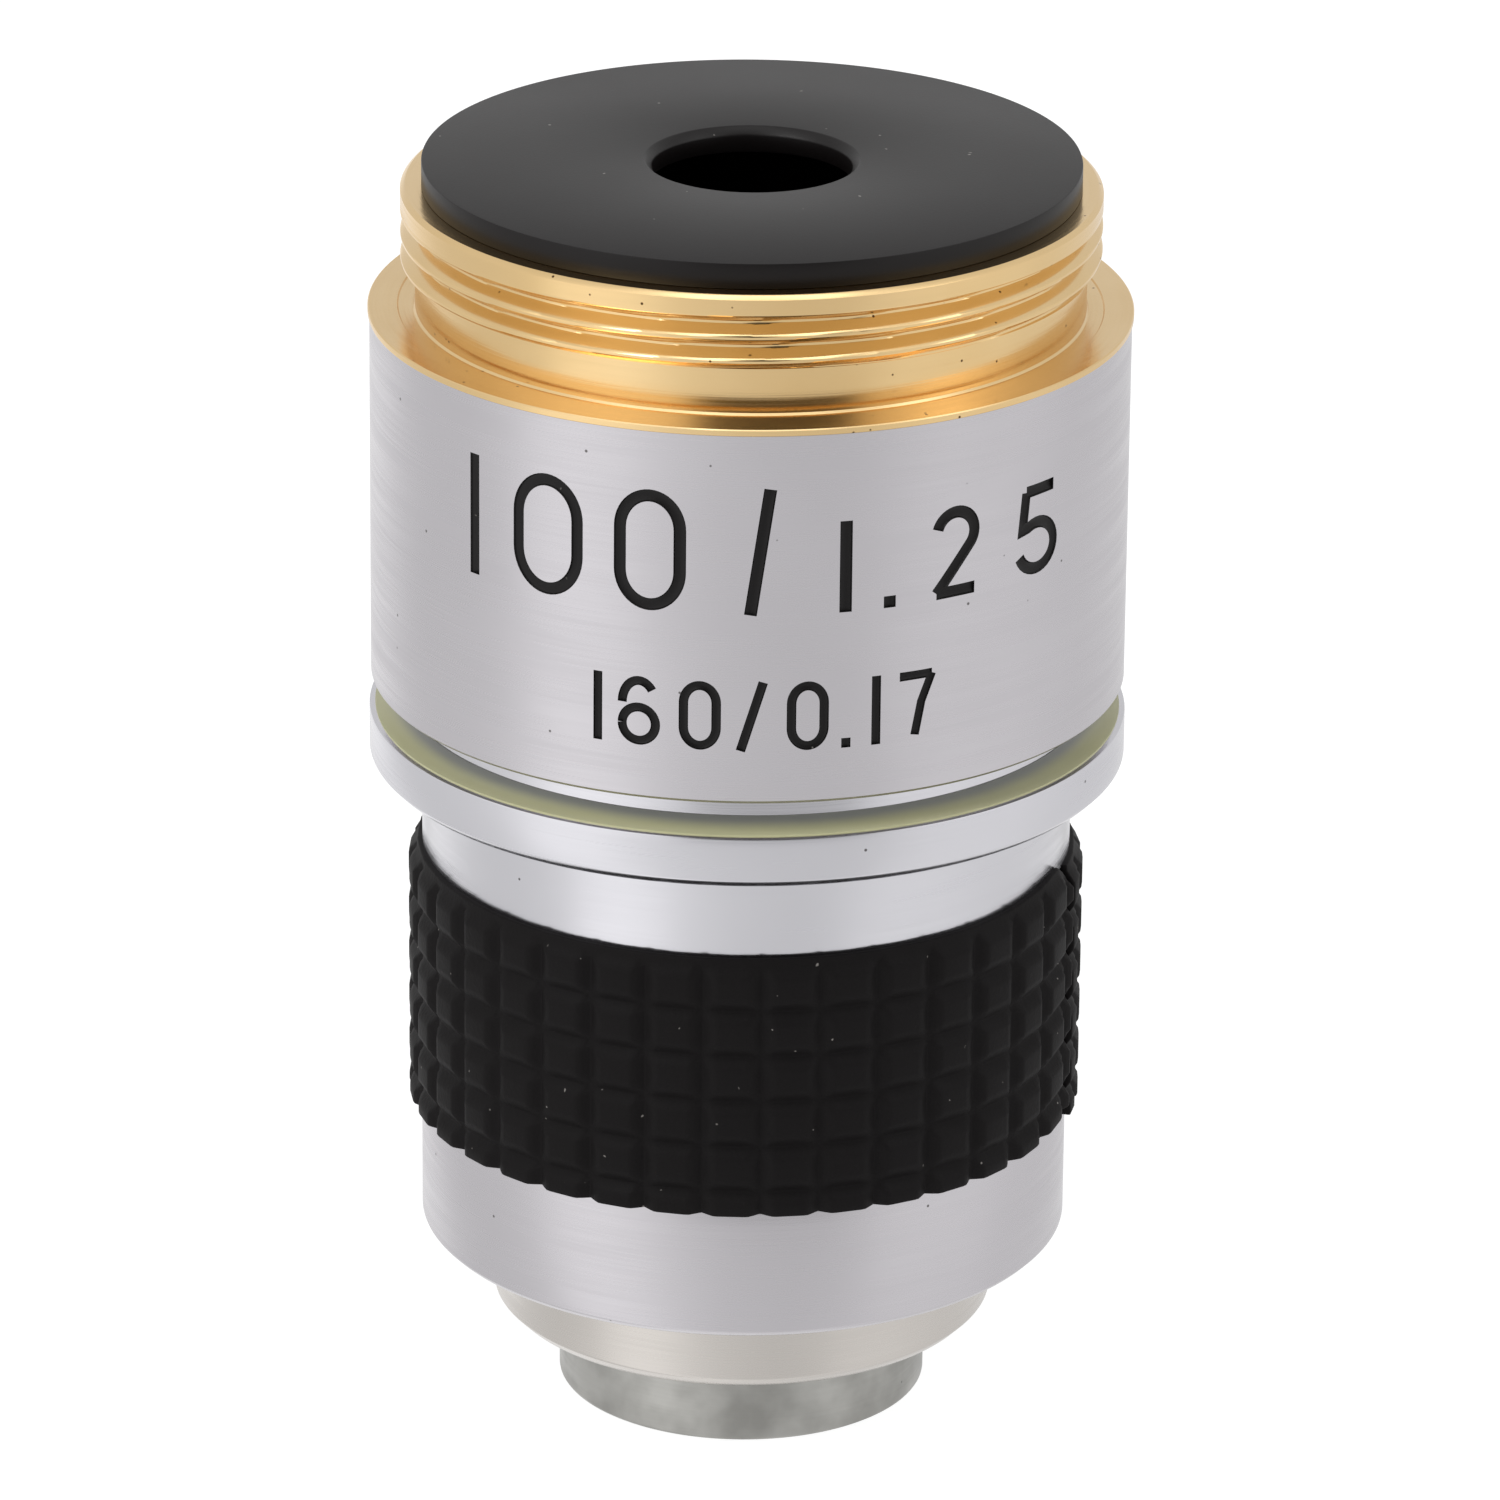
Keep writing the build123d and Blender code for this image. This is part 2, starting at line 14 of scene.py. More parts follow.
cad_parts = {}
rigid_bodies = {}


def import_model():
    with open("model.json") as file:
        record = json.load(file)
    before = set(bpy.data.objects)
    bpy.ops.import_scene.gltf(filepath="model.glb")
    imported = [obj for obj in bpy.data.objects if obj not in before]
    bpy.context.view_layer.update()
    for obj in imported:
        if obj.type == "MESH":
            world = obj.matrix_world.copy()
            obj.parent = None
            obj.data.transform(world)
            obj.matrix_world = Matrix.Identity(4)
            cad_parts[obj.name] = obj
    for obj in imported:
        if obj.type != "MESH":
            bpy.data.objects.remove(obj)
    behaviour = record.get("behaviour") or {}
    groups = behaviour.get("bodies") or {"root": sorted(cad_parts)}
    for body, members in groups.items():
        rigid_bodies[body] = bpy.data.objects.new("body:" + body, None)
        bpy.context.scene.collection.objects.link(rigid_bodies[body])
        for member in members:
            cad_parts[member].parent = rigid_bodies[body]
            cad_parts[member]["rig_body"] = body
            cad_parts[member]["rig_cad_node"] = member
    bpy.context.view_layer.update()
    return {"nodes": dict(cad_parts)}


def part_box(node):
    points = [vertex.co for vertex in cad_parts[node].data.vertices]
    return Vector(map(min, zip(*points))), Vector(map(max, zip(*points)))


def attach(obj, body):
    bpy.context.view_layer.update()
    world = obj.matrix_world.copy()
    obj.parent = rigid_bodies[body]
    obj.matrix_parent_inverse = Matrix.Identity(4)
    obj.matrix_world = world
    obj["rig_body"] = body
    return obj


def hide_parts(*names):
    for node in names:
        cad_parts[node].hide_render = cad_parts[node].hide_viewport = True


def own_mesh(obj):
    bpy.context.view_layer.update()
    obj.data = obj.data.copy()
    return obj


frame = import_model()
MM = 0.001
# Points closer than this, in millimetres, are merged.
MERGE_MM = 0.0005
# Edges sharper than this, in degrees, are rounded.
SHARP_DEG = 40.0
LOG = logging.getLogger("objective")

Outline = Sequence[tuple[float, float]]


class Side(Enum):
    """End of a node's box along the optical axis."""

    LOW = 0
    HIGH = 1


def level(node: str, side: Side) -> float:
    """Gives a node's lowest or highest height in millimetres.

    Args:
        node: name of the solid.
        side: which end of its box.

    Returns:
        The height above the tip's flat end.
    """
    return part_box(node)[side.value].z / MM


def widest(node: str) -> float:
    """Gives a turned node's outer radius in millimetres.

    Args:
        node: name of the solid.

    Returns:
        Half its box's width along X.
    """
    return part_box(node)[1].x / MM


def linear(colour: str) -> tuple[float, float, float, float]:
    """Turns an sRGB hex colour into a linear one with full alpha.

    Args:
        colour: six hex digits after a hash sign.

    Returns:
        Red, green, blue and alpha.
    """
    parts = [int(colour[i:i + 2], 16) / 255 for i in (1, 3, 5)]
    values = [c / 12.92 if c <= 0.04045 else ((c + 0.055) / 1.055) ** 2.4 for c in parts]
    return (*values, 1.0)


def add_node(tree: bpy.types.NodeTree, kind: str, inputs: dict | None = None,
             **settings: object) -> bpy.types.Node:
    """Adds a node with its settings, and sets or links its inputs.

    Args:
        tree: node tree that gets the node.
        kind: the node's type name.
        inputs: socket name or index to a value or to another node's output.
        settings: properties of the node itself.

    Returns:
        The new node.
    """
    node = tree.nodes.new(kind)
    for name, value in settings.items():
        setattr(node, name, value)
    for name, value in (inputs or {}).items():
        if isinstance(value, bpy.types.NodeSocket):
            tree.links.new(value, node.inputs[name])
        else:
            node.inputs[name].default_value = value
    return node


def scatter(tree: bpy.types.NodeTree, vector: bpy.types.NodeSocket, spacing_mm: float,
            size: float, core: float, share: float) -> bpy.types.NodeSocket:
    """Adds small dots with soft edges, few and far apart.

    Args:
        tree: node tree of the material.
        vector: place on the object.
        spacing_mm: size of the cells that can hold a dot.
        size: a dot's radius as a share of its cell.
        core: how much of that radius is solid.
        share: how many of the cells hold a dot.

    Returns:
        Their mask, from 0 to 1.
    """
    cells = add_node(tree, "ShaderNodeTexVoronoi",
                     {"Vector": vector, "Scale": 1 / (spacing_mm * MM)})
    dots = add_node(tree, "ShaderNodeMapRange",
                    {"Value": cells.outputs["Distance"], "From Min": size,
                     "From Max": size * core})
    chance = add_node(tree, "ShaderNodeSeparateXYZ", {0: cells.outputs["Color"]})
    chosen = add_node(tree, "ShaderNodeMath", {0: chance.outputs[0], 1: 1 - share},
                      operation="GREATER_THAN")
    mask = add_node(tree, "ShaderNodeMath", {0: dots.outputs[0], 1: chosen.outputs[0]},
                    operation="MULTIPLY")
    return mask.outputs[0]


@dataclass(frozen=True)
class Finish:
    """What every finish has: a name and an empty material with a shader."""

    name: str

    def start(self) -> tuple[bpy.types.Material, bpy.types.NodeTree, bpy.types.Node]:
        """Makes the material.

        Returns:
            The material, its node tree and its principled shader.
        """
        material = bpy.data.materials.new(self.name)
        material.use_nodes = True
        tree = material.node_tree
        return material, tree, tree.nodes["Principled BSDF"]


@dataclass(frozen=True)
class TurnedMetal(Finish):
    """Metal off the lathe: fine lines run round it, so lights stretch into upright bands.

    The lines follow height plus radius, which makes them rings on flat faces too.
    """

    colour: str = "#C9C7CC"
    shade: str = "#A9A7AB"
    roughness: float = 0.3
    roughness_spread: float = 0.08
    anisotropy: float = 0.4
    line_mm: float = 0.08
    line_depth_mm: float = 0.0012
    coarse_mm: float = 0.5
    blotch_mm: float = 5.0
    blotch_share: float = 0.35
    speck_mm: float = 0.9
    speck_size: float = 0.06
    speck_core: float = 0.6
    speck_share: float = 0.28
    drift_mm: float = 6.0
    speck: str = "#6E6B6B"

    def build(self) -> bpy.types.Material:
        """Makes the material.

        Returns:
            The finished material.
        """
        material, tree, shader = self.start()
        place = add_node(tree, "ShaderNodeTexCoord").outputs["Object"]
        parts = add_node(tree, "ShaderNodeSeparateXYZ", {0: place}).outputs
        flat = add_node(tree, "ShaderNodeCombineXYZ", {0: parts["X"], 1: parts["Y"]})
        radius = add_node(tree, "ShaderNodeVectorMath", {0: flat.outputs[0]}, operation="LENGTH")
        across = add_node(tree, "ShaderNodeMath", {0: parts["Z"], 1: radius.outputs["Value"]},
                          operation="ADD")
        lines = [self.round_lines(tree, parts, across, spacing)
                 for spacing in (self.line_mm, self.coarse_mm)]
        both = add_node(tree, "ShaderNodeMath", {0: lines[0], 1: lines[1]}, operation="ADD")
        blotch = add_node(tree, "ShaderNodeTexNoise",
                          {"Vector": place, "Scale": 1 / (self.blotch_mm * MM), "Detail": 3.0})
        tint = add_node(tree, "ShaderNodeMapRange",
                        {"Value": blotch.outputs["Fac"], "From Min": 0.35, "From Max": 0.7,
                         "To Max": self.blotch_share})
        body = add_node(tree, "ShaderNodeMix",
                        {0: tint.outputs[0], 6: linear(self.colour), 7: linear(self.shade)},
                        data_type="RGBA")
        speck = scatter(tree, place, self.speck_mm, self.speck_size, self.speck_core,
                        self.speck_share)
        colour = add_node(tree, "ShaderNodeMix",
                          {0: speck, 6: body.outputs[2], 7: linear(self.speck)},
                          data_type="RGBA")
        tree.links.new(colour.outputs[2], shader.inputs["Base Color"])
        rough = add_node(tree, "ShaderNodeMapRange",
                         {"Value": both.outputs[0], "From Min": 0.6, "From Max": 1.4,
                          "To Min": self.roughness - self.roughness_spread,
                          "To Max": self.roughness + self.roughness_spread})
        tree.links.new(rough.outputs[0], shader.inputs["Roughness"])
        bump = add_node(tree, "ShaderNodeBump",
                        {"Height": both.outputs[0], "Distance": self.line_depth_mm * MM,
                         "Strength": 1.0})
        tree.links.new(bump.outputs[0], shader.inputs["Normal"])
        tangent = add_node(tree, "ShaderNodeTangent", direction_type="RADIAL", axis="Z")
        tree.links.new(tangent.outputs[0], shader.inputs["Tangent"])
        shader.inputs["Metallic"].default_value = 1.0
        shader.inputs["Anisotropic"].default_value = self.anisotropy
        return material

    def round_lines(self, tree: bpy.types.NodeTree, parts: bpy.types.NodeOutputs,
                    across: bpy.types.Node, spacing: float) -> bpy.types.NodeSocket:
        """Adds turning lines of one spacing.

        Args:
            tree: node tree of the material.
            parts: X, Y and Z of the object's own place.
            across: node that gives height plus radius.
            spacing: distance from line to line in millimetres.

        Returns:
            The lines' height, from 0 to 1.
        """
        round_scale = 1 / (self.drift_mm * MM)
        line_scale = 1 / (spacing * MM)
        scaled = [add_node(tree, "ShaderNodeMath", {0: parts[axis], 1: round_scale},
                           operation="MULTIPLY").outputs[0] for axis in ("X", "Y")]
        height = add_node(tree, "ShaderNodeMath", {0: across.outputs[0], 1: line_scale},
                          operation="MULTIPLY")
        vector = add_node(tree, "ShaderNodeCombineXYZ",
                          {0: scaled[0], 1: scaled[1], 2: height.outputs[0]})
        noise = add_node(tree, "ShaderNodeTexNoise",
                         {"Vector": vector.outputs[0], "Scale": 1.0, "Detail": 2.0})
        return noise.outputs["Fac"]


@dataclass(frozen=True)
class DustyCoat(Finish):
    """Dull dark or pale coat, such as lacquer or rubber, with pale dust lying on it."""

    colour: str = "#171516"
    tone: str = "#1F1C1C"
    tone_mm: float = 2.5
    roughness: float = 0.45
    roughness_spread: float = 0.05
    specular: float = 0.5
    grain_mm: float = 0.05
    grain_depth_mm: float = 0.003
    dust: str = "#8E8A86"
    dust_mm: float = 0.8
    dust_size: float = 0.06
    dust_share: float = 0.3
    dust_core: float = 0.5
    wobble_mm: float = 0.25
    wobble_reach_mm: float = 0.2

    def build(self) -> bpy.types.Material:
        """Makes the material.

        Returns:
            The finished material.
        """
        material, tree, shader = self.start()
        place = add_node(tree, "ShaderNodeTexCoord").outputs["Object"]
        tones = add_node(tree, "ShaderNodeTexNoise",
                         {"Vector": place, "Scale": 1 / (self.tone_mm * MM), "Detail": 4.0})
        body = add_node(tree, "ShaderNodeMix",
                        {0: tones.outputs["Fac"], 6: linear(self.colour),
                         7: linear(self.tone)}, data_type="RGBA")
        wobble = add_node(tree, "ShaderNodeTexNoise",
                          {"Vector": place, "Scale": 1 / (self.wobble_mm * MM)})
        moved = add_node(tree, "ShaderNodeVectorMath",
                         {0: wobble.outputs["Color"], 2: place,
                          1: (self.wobble_reach_mm * MM,) * 3},
                         operation="MULTIPLY_ADD")
        mask = scatter(tree, moved.outputs[0], self.dust_mm, self.dust_size,
                       self.dust_core, self.dust_share)
        colour = add_node(tree, "ShaderNodeMix",
                          {0: mask, 6: body.outputs[2], 7: linear(self.dust)},
                          data_type="RGBA")
        tree.links.new(colour.outputs[2], shader.inputs["Base Color"])
        grain = add_node(tree, "ShaderNodeTexNoise",
                         {"Vector": place, "Scale": 1 / (self.grain_mm * MM), "Detail": 2.0})
        rough = add_node(tree, "ShaderNodeMapRange",
                         {"Value": tones.outputs["Fac"], "From Min": 0.3, "From Max": 0.7,
                          "To Min": self.roughness - self.roughness_spread,
                          "To Max": self.roughness + self.roughness_spread})
        tree.links.new(rough.outputs[0], shader.inputs["Roughness"])
        bump = add_node(tree, "ShaderNodeBump",
                        {"Height": grain.outputs["Fac"], "Strength": 1.0,
                         "Distance": self.grain_depth_mm * MM})
        tree.links.new(bump.outputs[0], shader.inputs["Normal"])
        shader.inputs["Specular IOR Level"].default_value = self.specular
        return material


@dataclass(frozen=True)
class PooledLacquer(Finish):
    """Cream lacquer in a groove, turned grey up the wall as painted shade under the sleeve."""

    colour: str = "#D9D8A8"
    overhang_shade: str = "#9EA09C"
    low_mm: float = 0.0
    high_mm: float = 0.3
    wander_mm: float = 3.0
    wander_depth_mm: float = 0.06
    roughness: float = 0.3

    def build(self) -> bpy.types.Material:
        """Makes the material.

        Returns:
            The finished material.
        """
        material, tree, shader = self.start()
        place = add_node(tree, "ShaderNodeTexCoord").outputs["Object"]
        parts = add_node(tree, "ShaderNodeSeparateXYZ", {0: place})
        noise = add_node(tree, "ShaderNodeTexNoise",
                         {"Vector": place, "Scale": 1 / (self.wander_mm * MM)})
        wander = add_node(tree, "ShaderNodeMath",
                          {0: noise.outputs["Fac"], 1: self.wander_depth_mm * MM,
                           2: parts.outputs["Z"]}, operation="MULTIPLY_ADD")
        share = add_node(tree, "ShaderNodeMapRange",
                         {"Value": wander.outputs[0], "From Min": self.low_mm * MM,
                          "From Max": self.high_mm * MM}, interpolation_type="SMOOTHSTEP")
        # Painted shade: the fill turns grey as it climbs the wall under the sleeve's overhang.
        colour = add_node(tree, "ShaderNodeMix",
                          {0: share.outputs[0], 6: linear(self.colour), 7: linear(self.overhang_shade)},
                          data_type="RGBA")
        tree.links.new(colour.outputs[2], shader.inputs["Base Color"])
        shader.inputs["Roughness"].default_value = self.roughness
        return material


@dataclass(frozen=True)
class LensGlass(Finish):
    """Polished optical glass: clear, with the faint blue of its thin coating."""

    colour: str = "#E8EEF6"
    haze_mm: float = 2.0
    haze: float = 0.04
    ior: float = 1.52

    def build(self) -> bpy.types.Material:
        """Makes the material.

        Returns:
            The finished material.
        """
        material, tree, shader = self.start()
        place = add_node(tree, "ShaderNodeTexCoord").outputs["Object"]
        noise = add_node(tree, "ShaderNodeTexNoise",
                         {"Vector": place, "Scale": 1 / (self.haze_mm * MM)})
        rough = add_node(tree, "ShaderNodeMapRange",
                         {"Value": noise.outputs["Fac"], "To Min": 0.0, "To Max": self.haze})
        tree.links.new(rough.outputs[0], shader.inputs["Roughness"])
        shader.inputs["Base Color"].default_value = linear(self.colour)
        shader.inputs["Transmission Weight"].default_value = 1.0
        shader.inputs["IOR"].default_value = self.ior
        return material


# Satin chrome plate on turned brass: pale lilac grey, soft upright bands of light.
SATIN_PLATE = TurnedMetal("satin_chrome_plate", colour="#CAC7CB", shade="#C0BDC1",
                          roughness=0.27, anisotropy=0.5)
# The same plate left brighter on the neck and the ring, with finer lines.
BRIGHT_PLATE = TurnedMetal("bright_chrome_plate", colour="#D6D5DA", shade="#CBCACF",
                           roughness=0.22, anisotropy=0.45, line_mm=0.06)
# Bare turned brass: pale gold that deepens where it reflects itself, dark pits.
BARE_BRASS = TurnedMetal("bare_turned_brass", colour="#EACB97", shade="#D9B478",
                         roughness=0.2, roughness_spread=0.08, anisotropy=0.5,
                         line_mm=0.07, line_depth_mm=0.002, speck="#5A4020",
                         speck_mm=0.5, speck_size=0.1)
# Nickel silver: a warmer white metal, worn smooth by cleaning.
NICKEL_SILVER = TurnedMetal("nickel_silver", colour="#D0CBC6", shade="#C3BEB8",
                            roughness=0.27, anisotropy=0.35, line_mm=0.1)
# Nickel plate on the tip, coloured darker grey than the nose tube and mottled darker still:
# painted shade for the low tip by the ground.
TIP_NICKEL_PAINTED_SHADE = TurnedMetal("tip_nickel_painted_shade", colour="#B2B1AD", shade="#93928E",
                          roughness=0.4, anisotropy=0.15, blotch_mm=1.6, blotch_share=0.9,
                          speck="#5E5D5A", speck_mm=0.6, speck_size=0.12)
# Spring and screw steel, drawn and turned.
BARE_STEEL = TurnedMetal("bare_steel", colour="#A9A9AC", shade="#8F8F92", roughness=0.3)
# Black lacquer on the end disc: dark from above, grey at a flat view, with dust on it.
BLACK_LACQUER = DustyCoat("black_lacquer", colour="#100D0D", tone="#151111", tone_mm=9.0,
                          roughness=0.4, roughness_spread=0.02, specular=0.25)
# Black engraving paint in the numbers: half gloss.
ENGRAVING_PAINT = DustyCoat("engraving_paint", colour="#141213", tone="#1A1818",
                            roughness=0.4, specular=0.2, dust_mm=0.5, dust_size=0.1)
# Chemically blackened brass inside the barrel, to kill stray light.
BLACKENED_BRASS = DustyCoat("blackened_brass", colour="#0B0A0A", tone="#100F0E",
                            roughness=0.6, specular=0.15, dust_share=0.1)
# Moulded rubber: near black, soft sheen on its edges, lint and dust in the grooves.
MOULDED_RUBBER = DustyCoat("moulded_rubber", colour="#141213", tone="#191717",
                           roughness=0.6, specular=0.1, grain_mm=0.12,
                           grain_depth_mm=0.010, dust_mm=0.55, dust_size=0.08,
                           dust_share=0.32)
# Polished glass of the lenses.
LENS_GLASS = LensGlass("lens_glass")


def deselect_all() -> None:
    """Leaves edit mode and clears the selection."""
    if bpy.context.object is not None and bpy.context.object.mode != "OBJECT":
        bpy.ops.object.mode_set(mode="OBJECT")
    bpy.ops.object.select_all(action="DESELECT")


def activate(piece: bpy.types.Object) -> None:
    """Makes a piece the active one and selects nothing else.

    Args:
        piece: the piece that the next tools work on.
    """
    deselect_all()
    bpy.context.view_layer.objects.active = piece
    piece.select_set(True)


@contextmanager
def editing() -> Iterator[None]:
    """Opens the active piece in edit mode, all selected, and closes it at the end.

    Yields:
        Nothing: the tools in between work on the open mesh.
    """
    bpy.ops.object.mode_set(mode="EDIT")
    bpy.ops.mesh.select_all(action="SELECT")
    yield
    bpy.ops.object.mode_set(mode="OBJECT")


def finish_mesh(piece: bpy.types.Object, name: str, smooth_deg: float = 35.0) -> None:
    """Names a piece, puts its place into its mesh and smooths its gentle edges.

    Args:
        piece: the active object, in object mode.
        name: the piece's name.
        smooth_deg: edges sharper than this stay sharp.
    """
    piece.name = name
    piece.data.name = name
    bpy.ops.object.transform_apply(location=True, rotation=True, scale=True)
    bpy.ops.object.shade_smooth_by_angle(angle=radians(smooth_deg))


def ease_edges(piece: bpy.types.Object, width_mm: float, segments: int = 2) -> None:
    """Rounds a piece's sharp edges with a bevel that is applied.

    Args:
        piece: the active object, in object mode.
        width_mm: width of the rounding.
        segments: faces across it.
    """
    bevel = piece.modifiers.new("ease", "BEVEL")
    bevel.width = width_mm * MM
    bevel.segments = segments
    bevel.limit_method = "ANGLE"
    bevel.angle_limit = radians(SHARP_DEG)
    bpy.ops.object.modifier_apply(modifier=bevel.name)


def turn(name: str, outline: Outline, steps: int = 360) -> bpy.types.Object:
    """Turns a closed outline about the Z axis, one ring extruded from the next.

    Args:
        name: the piece's name.
        outline: (radius, height) points in millimetres, none on the axis.
        steps: faces round the piece.

    Returns:
        The piece, active and in object mode, with its normals outwards.
    """
    deselect_all()
    radius, height = outline[0]
    bpy.ops.mesh.primitive_circle_add(vertices=steps, radius=radius * MM,
                                      fill_type="NOTHING", location=(0, 0, height * MM))
    piece = bpy.context.object
    with editing():
        for next_radius, next_height in [*outline[1:], outline[0]]:
            rise = (0, 0, (next_height - height) * MM)
            bpy.ops.mesh.extrude_region_move(TRANSFORM_OT_translate={"value": rise})
            grow = next_radius / radius
            bpy.ops.transform.resize(value=(grow, grow, 1), center_override=(0, 0, 0))
            radius, height = next_radius, next_height
        bpy.ops.mesh.select_all(action="SELECT")
        bpy.ops.mesh.remove_doubles(threshold=MERGE_MM * MM)
        bpy.ops.mesh.normals_make_consistent(inside=False)
    piece.name = name
    bpy.ops.object.transform_apply(location=True, rotation=True, scale=True)
    return piece


def dress_parts(piece: bpy.types.Object, main_finish: bpy.types.Material,
                other: bpy.types.Material, chosen: Callable[[Vector], bool]) -> None:
    """Gives a piece two finishes, the second one where the test holds.

    Args:
        piece: the finished mesh.
        main_finish: finish of most faces.
        other: finish of the chosen faces.
        chosen: test of a face's middle.
    """
    piece.data.materials.clear()
    for finish in (main_finish, other):
        piece.data.materials.append(finish)
    for polygon in piece.data.polygons:
        polygon.material_index = int(chosen(polygon.center))


def place_piece(piece: bpy.types.Object, body: str, finish: bpy.types.Material, slot: str,
                *nodes: str) -> None:
    """Dresses a piece, lets it ride on its body and stand for its nodes.

    Args:
        piece: the finished mesh.
        body: the body that it moves with.
        finish: its material, or None to keep what it has.
        slot: the record's material slot; not used.
        nodes: solids that it stands for.
    """
    if finish is not None:
        piece.data.materials.clear()
        piece.data.materials.append(finish)
    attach(piece, body)
    if nodes:
        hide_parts(*nodes)
    LOG.info("%s: %d faces on %s", piece.name, len(piece.data.polygons), body)


@dataclass
class EndDisc:
    """Black disc on the thread's end, with the light hole and its screwed spigot."""

    hole_r: float = 2.88
    bevel: float = 0.22
    spigot_r: float = 8.58
    spigot_wall: float = 0.60
    plate: float = 0.74
    edge: float = 0.035

    def build(self, lacquer: bpy.types.Material) -> None:
        """Makes and dresses the disc.

        Args:
            lacquer: its black coat.
        """
        outer = widest("top_stop")
        top = level("top_stop", Side.HIGH)
        low = level("top_stop", Side.LOW)
        under = top - self.plate
        spigot_bore = self.spigot_r - self.spigot_wall
        piece = turn("end_disc", [
            (self.hole_r, under), (spigot_bore, under), (spigot_bore, low),
            (self.spigot_r, low), (self.spigot_r, under),
            (outer, under), (outer, top), (self.hole_r + self.bevel, top),
            (self.hole_r, top - self.bevel),
        ])
        ease_edges(piece, self.edge)
        finish_mesh(piece, "end_disc")
        place_piece(piece, "housing", lacquer, "black_enamel", "top_stop")


@dataclass
class ScrewMount:
    """Brass body with the fine outer thread, cut as a true helix."""

    crest_r: float = 10.10
    pitch: float = 0.7056
    depth: float = 0.40
    crest_share: float = 0.12
    flank_share: float = 0.76
    flank_power: float = 1.15
    run_out: float = 0.15
    start_margin: float = 0.3
    crest_z: float = 35.34
    land_z: float = 36.72
    relief_z: float = 35.02
    relief_r: float = 9.68
    shoulder: float = 0.18
    seat_r: float = 10.20
    seat_z: float = 33.68
    bore_r: float = 8.60
    bore_depth: float = 4.28
    tube_r: float = 9.60
    tube_bore: float = 8.90
    edge: float = 0.03
    seat_step: float = 0.04
    relief_fillet: float = 0.06
    relief_edge: float = 0.02
    end_bevel: float = 0.12
    end_inset: float = 0.10
    end_lip: float = 0.14
    coat_reach: float = 0.1
    tolerance: float = 0.01
    row: float = 0.035

    def thread_drop(self, angle: float, height: float) -> float:
        """Tells how far the thread lies below its crest.

        Args:
            angle: from the front towards +X, in radians.
            height: above the tip, in millimetres.

        Returns:
            The depth in millimetres.
        """
        turns = (height - self.crest_z) / self.pitch - angle / (2 * pi)
        from_crest = abs(turns - floor(turns + 0.5)) * 2
        flank = min(1.0, max(0.0, (from_crest - self.crest_share) / self.flank_share))
        run_out = min(1.0, max(0.0, (self.land_z - height) / (self.run_out * self.pitch)))
        return self.depth * (flank ** self.flank_power) * run_out

    def build(self, brass: bpy.types.Material, black: bpy.types.Material) -> None:
        """Makes and dresses the brass body.

        Args:
            brass: its finish.
            black: the coat inside its bore.
        """
        crest = self.crest_r
        top = level("mount_body", Side.HIGH)
        low = level("mount_body", Side.LOW)
        shoulder_r = widest("mount_body")
        under, seat = self.seat_z - self.shoulder, self.seat_z - self.seat_step
        rows = int((top - self.start_margin - self.relief_z) / self.row)
        threaded = [(crest, self.relief_z + self.row * i) for i in range(rows + 1)]
        piece = turn("screw_mount", [
            (self.tube_bore, low), (self.tube_r, low), (self.tube_r, under),
            (shoulder_r, under), (shoulder_r, self.seat_z - self.edge),
            (shoulder_r - self.edge, self.seat_z), (self.seat_r, self.seat_z),
            (self.seat_r - self.seat_step, seat), (self.relief_r + self.relief_fillet, seat),
            (self.relief_r, self.seat_z + self.relief_edge),
            (self.relief_r, self.relief_z - self.relief_edge),
            (self.relief_r + self.edge, self.relief_z), *threaded,
            (crest, top - self.end_bevel), (crest - self.end_inset, top - self.relief_edge),
            (crest - self.end_lip, top), (self.bore_r, top),
            (self.bore_r, top - self.bore_depth), (self.tube_bore, top - self.bore_depth),
        ], steps=480)
        for vertex in piece.data.vertices:
            height = vertex.co.z / MM
            radius = hypot(vertex.co.x, vertex.co.y) / MM
            outside = radius >= crest - self.tolerance
            if outside and self.relief_z - self.tolerance <= height < self.land_z:
                angle = atan2(vertex.co.x, -vertex.co.y)
                shrink = 1 - self.thread_drop(angle, height) / crest
                vertex.co.x *= shrink
                vertex.co.y *= shrink
        finish_mesh(piece, "screw_mount", 25.0)
        inside = self.tube_bore + self.coat_reach
        dress_parts(piece, brass, black, lambda spot: hypot(spot.x, spot.y) / MM < inside)
        place_piece(piece, "housing", None, "bare_brass", "mount_body")


class Glyph(Enum):
    """Signs that the numbers are made of."""

    ONE = "1"
    TWO = "2"
    FIVE = "5"
    SIX = "6"
    SEVEN = "7"
    ZERO = "0"
    SLASH = "/"
    POINT = "."


def arc(cx: float, cy: float, rx: float, ry: float, start: float, end: float,
        count: int = 24) -> list[tuple[float, float]]:
    """Gives points along an elliptic arc.

    Args:
        cx: centre across.
        cy: centre up.
        rx: half width.
        ry: half height.
        start: first angle in degrees, from the right, towards the top.
        end: last angle in degrees.
        count: number of steps.

    Returns:
        The points in order.
    """
    angles = [radians(start + (end - start) * i / count) for i in range(count + 1)]
    return [(cx + rx * cos(a), cy + ry * sin(a)) for a in angles]


@dataclass
class Line:
    """One line of engraved numbers."""

    signs: str
    angles: Sequence[float]
    low: float
    height: Sequence[float]
    width: Sequence[float]
    stroke: float


